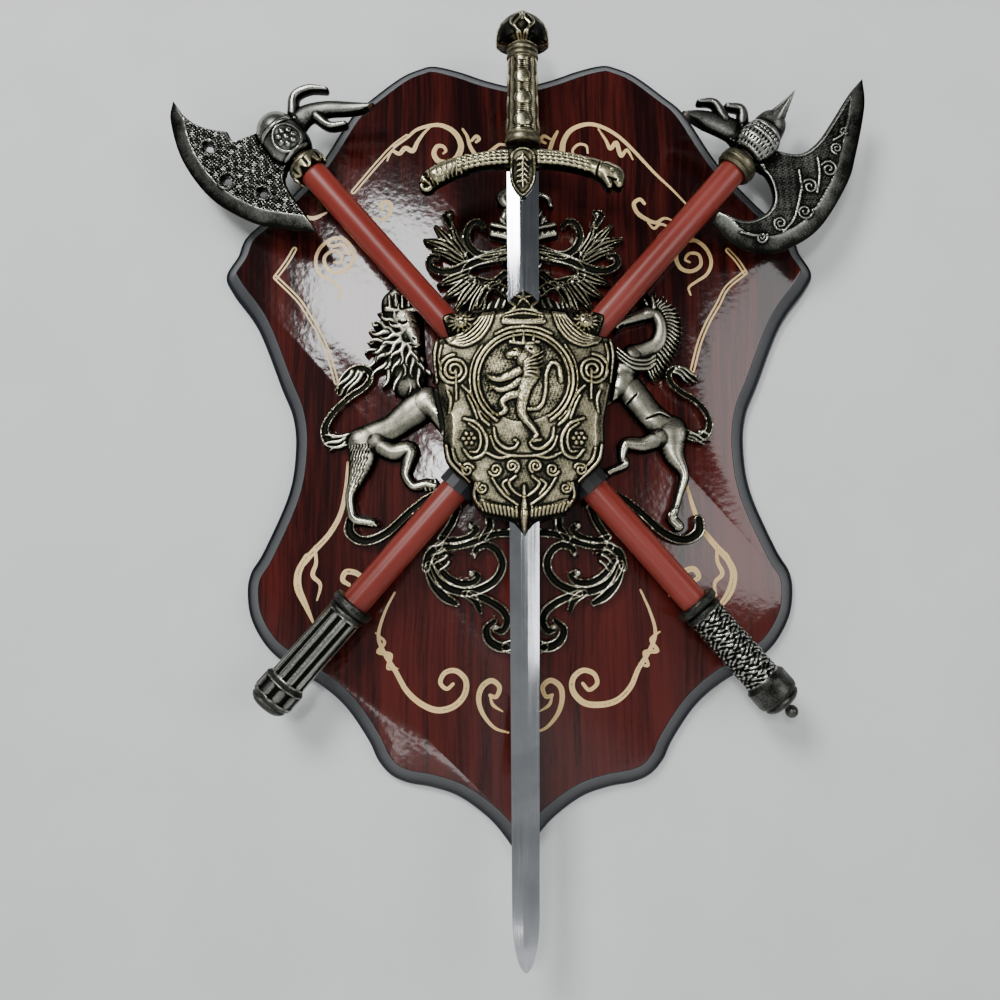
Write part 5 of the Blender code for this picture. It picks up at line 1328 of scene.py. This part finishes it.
def finish_head(head, name, node, side, piercings):
    """Cuts the piercings and the room for the shaft out of a head, and makes the piece."""
    hole = np.full(head.x.shape, 1.0)
    for a, b, r in piercings:
        hole = np.minimum(hole, np.hypot((head.x - a) / 1.5, head.z - b) - r * 0.8)
    shaft_room = np.maximum(head.x - HEAD_FOOT, np.abs(head.z) - BORE_RADIUS - FIT)
    head.keep(np.minimum(hole, shaft_room))
    made = head.piece(name, gunmetal(), lambda x, z, front: -front, across_shaft(side, SHAFT_DEPTH), 1.0)
    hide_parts(node)


class PLAQUE_OT_heads(bpy.types.Operator):
    """Make the two axe heads: the left one pierced and covered with curled filigree, the right one engraved with a
    vine inside a border line. Front and back are alike."""

    bl_idname = "plaque.heads"
    bl_label = "Axe heads"

    def execute(self, context):
        foot = HEAD_FOOT
        head, panel, away, inside = head_base(LEFT_EDGE, LEFT_CUT, LEFT_BEAK)
        a, b = head.x, head.z
        worms = np.sin(2.0 * a + 2.2 * np.sin(1.1 * b + 0.7)) * np.sin(2.1 * b + 2.4 * np.sin(1.2 * a))
        head.front += np.where(panel > 0, 0.5 * np.clip(worms * 2.2, -1, 1) - 0.2, 0)
        rims = [arc(p, q, r * 1.25 + 1, 0.9) for p, q, r in LEFT_PIERCINGS]
        head.carve(rims, 0.8, spans=2)
        column = [((221 + 2.2 * k, 6, 0.95), (221 + 2.2 * k, 9.5, 0.95)) for k in range(12)]
        head.carve(column, 0.9)
        socket(head, 26)
        flower = petals(foot + 14, -1, (4.5, 5), (5, 5.6), (1.6, 1.4), 7)
        head.carve(flower + [((foot + 14, -1, 1.6), (foot + 14.2, -1, 1.6))], 0.9)
        head.carve([arc(foot + 14, -1, 9, 0.6)], 0.6, spans=2)
        finish_head(head, "left_axe_head", "axe_left_head", -1, LEFT_PIERCINGS)

        head, panel, away, inside = head_base(RIGHT_EDGE, RIGHT_CUT, RIGHT_DRAGON)
        line = np.clip(1 - np.abs(panel * 0.8 - 0.4) / 0.45, 0, 1) * (away < 14)
        head.front += np.where(inside > 2.0, 0.5 * line, 0)
        a, b = head.x, head.z
        pebbles = np.sin(3.4 * a + 1.4 * np.sin(2.1 * b)) * np.sin(3.2 * b + 1.6 * np.sin(2.4 * a))
        head.front += np.where(panel > 0.8, 0.16 * pebbles - 0.3, 0)
        vine = [((232, 32, 0.7), (224, 40, 0.8), (214, 46, 0.8), (204, 50, 0.8), (194, 50, 0.7)),
                ((246, 36, 0.7), (238, 44, 0.8), (228, 50, 0.8)), ((186, 44, 0.7), (180, 38, 0.8), (176, 30, 0.7)),
                ((262, 36, 0.6), (270, 38, 0.7), (280, 34, 0.6))]
        curls = [spiral(228, 44, 5.5, 1, 1.6, 200, 0.8, 0.6), spiral(213, 52, 5.0, 1, 1.6, 40, 0.8, 0.6),
                 spiral(245, 46, 5.5, 1, 1.6, 260, 0.8, 0.6), spiral(197, 45, 4.5, 1, 1.6, 120, 0.8, 0.6),
                 spiral(182, 42, 3.6, 0.8, 1.5, 30, 0.7, 0.5), spiral(259, 41, 3.8, 0.8, 1.5, 150, 0.7, 0.5),
                 spiral(271, 37, 2.6, 0.6, 1.3, 90, 0.6, 0.5)]
        head.carve(vine, 0.8)
        head.carve(curls, 0.8, spans=2)
        socket(head, 17)
        scales = [lock((foot + 4 + 4 * k, q), (foot + 9 + 4 * k, q + 0.6), 1.3, 0.3)
                  for k in range(4) for q in np.arange(-12 + 1.2 * (k % 2), 12.5, 2.4)]
        head.carve(scales, 0.9)
        head.stroke(RIGHT_SPIKE, 9.0)
        head.carve([((foot + 19, -11, 1.3), (foot + 19, 10, 1.3)), ((foot + 23, -10, 1), (foot + 23, 9, 1))], 0.7)
        finish_head(head, "right_axe_head", "axe_right_head", 1, ())
        return {"FINISHED"}


class PLAQUE_OT_shafts(bpy.types.Operator):
    """Make the shafts: round rods, the front one cut flat behind and the rear one cut flat in front, where they
    cross."""

    bl_idname = "plaque.shafts"
    bl_label = "Shafts"

    def execute(self, context):
        between = 2 * SHAFT_ANGLE
        half = (BORE_RADIUS + SHAFT_RADIUS * abs(math.cos(between))) / math.sin(between)
        for side, node, front in ((-1, "axe_left_shaft", -1), (1, "axe_right_shaft", 1)):
            axis = across_shaft(side, SHAFT_DEPTH)

            def place(along, out, forward):
                lapped = np.abs(along) < half
                forward = np.where(lapped, np.maximum(front * forward, FIT / 2) * front, forward)
                return axis(along, out, forward)

            rows = ((-SHAFT_LOWER, 0), (-SHAFT_LOWER, SHAFT_RADIUS - 0.5), (-SHAFT_LOWER + 0.5, SHAFT_RADIUS),
                    (-half - 0.01, SHAFT_RADIUS), (-half + 0.01, SHAFT_RADIUS), (half - 0.01, SHAFT_RADIUS),
                    (half + 0.01, SHAFT_RADIUS), (SHAFT_UPPER - 0.5, SHAFT_RADIUS),
                    (SHAFT_UPPER, SHAFT_RADIUS - 0.5), (SHAFT_UPPER, 0))
            made = turned(node + "_rod", rows, painted_shaft(), place, 64, step=6)
            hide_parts(node)
        return {"FINISHED"}


class PLAQUE_OT_fittings(bpy.types.Operator):
    """Make the collars and butts as turned profiles, and give the model's clips a black finish: leaf points on one
    collar, flutes on one butt and a hammered barrel on the other."""

    bl_idname = "plaque.fittings"
    bl_label = "Collars and butts"

    def execute(self, context):
        left, right = across_shaft(-1, SHAFT_DEPTH), across_shaft(1, SHAFT_DEPTH)
        tall, end, long = BORE_RADIUS + COLLAR_WALL, SHAFT_UPPER - FIT, COLLAR_LENGTH

        def leaves(turn, along):
            point = end - long * (0.55 + 0.45 * np.abs(np.cos(4 * turn)))
            vein = np.abs(np.sin(4 * turn))
            return np.where(along < point, -2.2, -0.5 * (1 - vein) ** 3) * (along < end - 1.5)

        ring = [(end - long, BORE_RADIUS), (end - long, tall - 1.2), (end - 0.6 * long, tall - 0.2),
                (end - 0.3 * long, tall), (end - 0.12 * long, tall - 0.9), (end, tall - 0.6), (end, BORE_RADIUS)]
        self.add("left_collar", "axe_left_collar", ring, brass(), left, "antique_brass", leaves, closed=True)
        ring = [(end - long, BORE_RADIUS), (end - long, tall - 1.6), (end - 0.8 * long, tall - 0.4),
                (end - 0.62 * long, tall - 1.0), (end - 0.5 * long, tall), (end - 0.2 * long, tall - 0.1),
                (end - 0.08 * long, tall - 0.7), (end, tall - 0.9), (end, BORE_RADIUS)]
        self.add("right_collar", "axe_right_collar", ring, brass(), right, "antique_brass", None, closed=True)

        start, floor = -(SHAFT_LOWER - FERRULE_BORE), -(SHAFT_LOWER + FIT)
        stop, wide = start - BUTT_LENGTH, BUTT_RADIUS
        big = wide + BEAD_RISE
        top = [(floor, 0), (floor, BORE_RADIUS), (start, BORE_RADIUS), (start, big - 0.8), (start - 1, big),
               (start - 4, big), (start - 5, big - 0.8), (start - 6, wide - 0.4), (start - 7, wide + 0.6),
               (start - 8.5, wide + 0.8), (start - 10, wide)]
        tail = [(stop + 21, wide), (stop + 19.5, wide + 1), (stop + 18, big), (stop + 8, big), (stop + 6, big - 0.6),
                (stop + 5, wide), (stop + 3.6, wide + 0.6), (stop + 2, wide - 0.4), (stop + 0.6, 0.8 * wide)]

        def flutes(turn, along):
            body = (along < start - 10.5) & (along > stop + 21.5)
            cap = (along < stop + 17.5) & (along > stop + 8.5)
            wave = 0.5 - 0.5 * np.cos(10 * turn)
            return np.where(body, -1.3 * wave**2, np.where(cap, -1.0 * (1 - np.abs(np.cos(5 * turn))), 0))

        def hammered(turn, along):
            body = (along < start - 10.5) & (along > stop + 21.5)
            dents = np.sin(9 * turn + 1.3 * np.sin(0.9 * along)) * np.sin(1.5 * along + 1.4 * np.sin(5 * turn))
            petals = np.sin(15 * turn) * np.sin(2.2 * along)
            return np.where(body, 0.45 * np.clip(1.6 * dents, -1, 1) + 0.2 * petals - 0.3, 0)

        self.add("left_foot_butt", "axe_right_butt", top + tail + [(stop, 0.6 * wide), (stop, 0)], gunmetal(), right,
                 "gunmetal", flutes)
        knob, neck = KNOB_RADIUS, stop - NECK_LENGTH
        ball = [(neck - knob + knob * math.cos(t), knob * math.sin(t)) for t in np.linspace(0.5, math.pi, 14)]
        self.add("right_foot_butt", "axe_left_butt",
                 top + tail + [(stop + 0.2, 0.6 * wide), (neck + 0.4, 0.45 * knob)] + ball[:-1]
                 + [(neck - 2 * knob, 0)], gunmetal(), left, "gunmetal", hammered)
        for node in ("shaft_clip_left", "shaft_clip_right"):
            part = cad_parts[node]
            part.data.materials.clear()
            part.data.materials.append(plain_finish("Black band", "clip", 0.5, 0.2, 800.0, 0.3))
        return {"FINISHED"}

    def add(self, name, node, rows, finish, place, slot, relief, closed=False):
        made = turned(name, rows, finish, place, 120, relief, 0.45, closed)
        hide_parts(node)


class PLAQUE_OT_sword(bpy.types.Operator):
    """Make the sword: a six-sided blade with a rounded point, a cast guard, a grip in relief and a domed pommel."""

    bl_idname = "plaque.sword"
    bl_label = "Sword"

    def execute(self, context):
        self.blade()
        self.guard()
        self.grip()
        self.pommel()
        return {"FINISHED"}

    def blade(self):
        """Sections of eight corners, wide at the top, narrowing evenly and then along a quarter ellipse."""
        top, tip, shoulder = BLADE_TOP, BLADE_TIP, BLADE_SHOULDER
        levels = [(z, 1 - 0.2 * (top - z) / (top - shoulder)) for z in np.linspace(top, shoulder, 24)]
        levels += [(shoulder + (tip - shoulder) * s, 0.8 * math.sqrt(1 - s * s)) for s in np.linspace(0.08, 0.985, 14)]
        levels.append((tip, 0.1))
        z, share = np.array(levels).T
        thick = BLADE_HALF_THICK * np.minimum(1, share + 0.35)
        half, flat_half, edge = BLADE_HALF * share, 2.2 * share, np.full(len(z), 0.25)
        xs = np.column_stack((-half, -flat_half, flat_half, half, half, flat_half, -flat_half, -half))
        ys = np.column_stack((edge, thick, thick, edge, -edge, -thick, -thick, -edge))
        points = np.column_stack((xs.ravel(), -(BLADE_DEPTH + ys.ravel()), np.repeat(z, 8)))
        ids = np.arange(len(z) * 8).reshape(-1, 8)
        faces = ring_faces(ids[:-1], ids[1:]).tolist() + [ids[0][::-1].tolist(), ids[-1].tolist()]
        made = add_mesh("polished_blade", points, faces, polished_steel(), sharp=5)
        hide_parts("sword_blade")

    def guard(self):
        """The guard's arms with engraved leaves, a wound left end, an open-mouthed head at the right, a langet."""
        guard = Relief((-68, GUARD_LEVEL - 26), (68, GUARD_LEVEL + 16), size("fine_grid"), 0.8)

        def up(stroke):
            return [(x, z + GUARD_LEVEL, r) for x, z, r in stroke]

        for stroke in (GUARD_ARM, other_side((GUARD_ARM,))[0], RIGHT_END, RIGHT_JAW):
            guard.stroke(up(stroke), 5.6, blend=1.0)
        guard.stroke(up(other_side((((38, -1, 6.2), (46, -3, 6.8), (54, -7, 7)),))[0]), 6.0, profile=rope)
        guard.stroke(up(LEFT_END), 5.6, profile=rope)
        scales = []
        for side in (-1, 1):
            for k in range(9):
                x, z = 10 + 3.6 * k, 4 - 0.075 * k * k
                scales += [up(lock((side * x, z + q), (side * (x + 3.4), z + q - 0.3), 1.2, 0.3))
                           for q in (-4, -1.6, 0.8, 3.2)]
        guard.carve(scales, 0.8)
        guard.carve([up(((50, -1, 0.8), (54, -2, 0.9), (58, -4, 0.7))), up(((53, -10, 0.7), (58, -12, 0.8))),
                     up(((48, 0, 0.7), (46, -7, 0.8), (48, -11, 0.6)))], -0.9)
        guard.carve([up(((55, -5.5, 1.1), (55.6, -5.6, 1.1)))], 1.2)
        guard.stroke(up(LANGET), 1.6, 3.2, profile=flat)
        place, inside, share, side, along = guard.near(smooth_line(up(LANGET)))
        rim = np.clip(1 - np.abs(inside - 1.0) / 0.9, 0, 1)
        guard.front[place] += np.where(inside > 0, 1.1 * rim, 0)
        leaves = [up(lock((0, 3 - 3.6 * k), (side * 4, 0.4 - 3.6 * k), 1.1, 0.4)) for k in range(5) for side in (-1, 1)]
        guard.carve(leaves + [up(((0, 5, 0.7), (0, -16, 0.6)))], 0.8)
        guard.keep(GUARD_LEVEL + GUARD_CROWN - guard.z)
        room = BLADE_HALF_THICK + 2 * FIT
        middle = np.abs(guard.x) < BLADE_HALF + 2
        guard.front = np.where(middle, np.maximum(guard.front, room + 1.2), guard.front)
        guard.rim = np.where(middle, room + 1.2, guard.rim)

        def back(x, z, front):
            return np.where((np.abs(x) < BLADE_HALF + NOTCH_ROOM) & (z < BLADE_TOP + NOTCH_ROOM), room, -front)

        made = guard.piece("cast_guard", brass(), back, on_board(BLADE_DEPTH), 0.9)
        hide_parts("sword_guard")

    def grip(self):
        """A tapering bar with collars at its ends and raised ovals in a lattice of leaves along it."""
        low, tall, wide = GRIP_FOOT, GRIP_LENGTH, GRIP_RADIUS
        high = low + tall - FIT
        rows = [(low, 0), (low, wide), (low + 1, wide + 0.8), (low + 3.5, wide + 0.8), (low + 4.6, wide - 0.3),
                (low + 5.6, wide + 0.3), (low + 7, wide)]
        rows += [(low + 7 + (tall - 12) * s, wide * (1 - 0.15 * s)) for s in np.linspace(0.1, 1, 8)]
        rows += [(high - 4, 0.9 * wide), (high - 2.6, 0.97 * wide), (high - 1, 0.94 * wide),
                 (high, 0.86 * wide), (high, 0)]

        carving, pitch = 0.75, 14.5

        def lattice(turn, along):
            body = np.clip((along - low - 6) / 2, 0, 1) * np.clip((high - 4 - along) / 2, 0, 1)
            phase = (along - low - 6) / pitch
            facing = np.abs(((turn + math.pi / 4) % (math.pi / 2)) - math.pi / 4) / (math.pi / 4)
            oval = np.clip(1 - (facing / 0.75) ** 2 - (2 * np.abs(phase % 1 - 0.5) / 0.62) ** 2, 0, 1) ** 0.5
            twist = np.sin(6 * turn + 2.4 * along) * np.sin(6 * turn - 2.4 * along)
            return body * (0.9 * oval + np.where(oval > 0, 0.1, 0.55) * twist) * carving

        made = turned("cast_grip", rows, brass(), upright(BLADE_DEPTH), 120, lattice, 0.4)
        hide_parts("sword_grip")

    def pommel(self):
        """A dome with hollow undersides between its lobes, raised leaves on its faces and a button on top."""
        low, tall, wide = GRIP_FOOT + GRIP_LENGTH, POMMEL_HEIGHT, POMMEL_RADIUS
        rows = ((0, 0), (0, 0.55), (0.05, 0.58), (0.12, 0.56), (0.15, 0.62), (0.17, 0.9), (0.21, 0.985), (0.3, 1.0),
                (0.42, 0.985), (0.55, 0.93), (0.67, 0.83), (0.76, 0.7), (0.83, 0.55), (0.88, 0.4), (0.9, 0.26),
                (0.92, 0.28), (0.96, 0.27), (0.985, 0.2), (1, 0.08), (1, 0))
        profile = smooth_line(rows[5:14], 3)
        rows = [*rows[:5], *profile, *rows[14:]]
        rows = [(low + a * tall, r * wide) for a, r in rows]

        def lobes(turn, along):
            height = np.clip((along - low) / tall, 0, 1)
            body = np.clip((height - 0.13) / 0.05, 0, 1) * np.clip((0.9 - height) / 0.1, 0, 1)
            face = ((turn + math.pi / 4) % (math.pi / 2) - math.pi / 4) * 10
            up = (height - 0.5) * 22
            valley = -2.6 * np.abs(np.sin(2 * turn)) ** 6 * np.clip((0.55 - height) / 0.4, 0, 1)
            stem = np.clip(1 - np.abs(face) / 0.7, 0, 1) * (height > 0.5)
            leaf = np.clip(1 - np.abs(np.abs(face) - 3.2 - 1.4 * np.cos(0.5 * up)) / 0.8, 0, 1)
            vein = np.clip(1 - np.abs(np.abs(face) - 1.8 + 1.2 * np.sin(0.6 * up)) / 0.7, 0, 1)
            return body * (valley + 0.9 * np.maximum(np.maximum(stem, leaf), vein) - 0.5)

        made = turned("cast_pommel", rows, brass(), upright(BLADE_DEPTH), 160, lobes, 0.35)
        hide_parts("sword_pommel")


class PLAQUE_OT_stage(bpy.types.Operator):
    """Make the stage: a wall that curves into a floor, soft lamps, a grey world and the camera."""

    bl_idname = "plaque.stage"
    bl_label = "Stage"

    def execute(self, context):
        wall_line = [(0.5, 1600.0), (0.5, -700.0)]
        wall_line += [(-300 + 300.5 * math.cos(t), -700 - 300 * math.sin(t)) for t in np.linspace(0.1, math.pi / 2, 12)]
        wall_line.append((-2600.0, -1000.0))
        profile = np.array(wall_line)
        xs = np.array([-2200.0, 2200.0])
        points = np.array([(x, y, z) for y, z in profile for x in xs]) * MM
        faces = [(2 * i, 2 * i + 1, 2 * i + 3, 2 * i + 2) for i in range(len(profile) - 1)]
        mesh = bpy.data.meshes.new("pale_wall")
        mesh.from_pydata(points.tolist(), [], faces)
        mesh.shade_smooth()
        if mesh.polygons[0].normal.y > 0:
            mesh.flip_normals()
        mesh.materials.append(wall_finish())
        wall = bpy.data.objects.new("pale_wall", mesh)
        context.scene.collection.objects.link(wall)

        self.lamp("key", (-0.75, -1.5, 1.0), 0.6, 26.0)
        self.lamp("window", (-0.22, -1.75, 0.22), 0.25, 9.0)
        self.lamp("fill", (1.2, -1.3, 0.1), 0.8, 8.0)
        self.lamp("low", (-0.5, -1.2, -1.1), 0.6, 6.0)

        world = bpy.data.worlds.new("Studio")
        world.use_nodes = True
        tree = world.node_tree
        way = tree.nodes.new("ShaderNodeTexCoord").outputs["Generated"]
        parts = shader_node(tree, "ShaderNodeSeparateXYZ", {0: way})
        behind = remap(tree, parts.outputs["Y"], -0.1, 0.3)
        up = remap(tree, parts.outputs["Z"], -0.5, 0.6)
        front = blend_colour(tree, up, (0.30, 0.31, 0.31, 1), (0.05, 0.055, 0.06, 1))
        whole = blend_colour(tree, behind, front, (0.5, 0.5, 0.5, 1))
        tree.links.new(whole, tree.nodes["Background"].inputs["Color"])
        tree.nodes["Background"].inputs["Strength"].default_value = 1.0
        context.scene.world = world

        camera = bpy.data.cameras.new("camera")
        camera.sensor_width = 36
        camera.lens = context.scene.plaque_sizes.lens
        camera.shift_x, camera.shift_y = -0.026, -0.013
        holder = bpy.data.objects.new("camera", camera)
        holder.matrix_world = (Matrix.Translation((0.0011, -0.615, -0.1095))
                               @ Matrix.Rotation(math.radians(96), 4, "X")
                               @ Matrix.Rotation(math.radians(-0.25), 4, "Z"))
        context.scene.collection.objects.link(holder)
        context.scene.camera = holder
        return {"FINISHED"}

    def lamp(self, name, at, wide, power):
        """A square soft lamp that faces the plaque's middle."""
        light = bpy.data.lights.new(name, "AREA")
        light.energy, light.size = power, wide
        holder = bpy.data.objects.new(name, light)
        holder.location = at
        holder.rotation_euler = (-Vector(at)).to_track_quat("-Z", "Y").to_euler()
        bpy.context.scene.collection.objects.link(holder)


STEPS = (PLAQUE_OT_board, PLAQUE_OT_print, PLAQUE_OT_arms, PLAQUE_OT_cartouche, PLAQUE_OT_heads, PLAQUE_OT_shafts,
         PLAQUE_OT_fittings, PLAQUE_OT_sword, PLAQUE_OT_stage)


class PLAQUE_PT_panel(bpy.types.Panel):
    """The plaque's sizes, colours and steps."""

    bl_idname = "PLAQUE_PT_panel"
    bl_label = "Wall plaque"
    bl_space_type = "VIEW_3D"
    bl_region_type = "UI"
    bl_category = "Plaque"

    def draw(self, context):
        for group in (context.scene.plaque_sizes, context.scene.plaque_colours):
            for key in group.__annotations__:
                self.layout.prop(group, key)
        for step in STEPS:
            self.layout.operator(step.bl_idname)


CLASSES = (PlaqueSizes, PlaqueColours, *STEPS, PLAQUE_PT_panel)


def register():
    for each in CLASSES:
        bpy.utils.register_class(each)
    bpy.types.Scene.plaque_sizes = bpy.props.PointerProperty(type=PlaqueSizes)
    bpy.types.Scene.plaque_colours = bpy.props.PointerProperty(type=PlaqueColours)


def unregister():
    del bpy.types.Scene.plaque_colours
    del bpy.types.Scene.plaque_sizes
    for each in reversed(CLASSES):
        bpy.utils.unregister_class(each)


def main():
    """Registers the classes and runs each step."""
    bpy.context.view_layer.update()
    register()
    bpy.ops.plaque.board()
    bpy.ops.plaque.print()
    bpy.ops.plaque.arms()
    bpy.ops.plaque.cartouche()
    bpy.ops.plaque.heads()
    bpy.ops.plaque.shafts()
    bpy.ops.plaque.fittings()
    bpy.ops.plaque.sword()
    bpy.ops.plaque.stage()


if __name__ == "__main__":
    main()
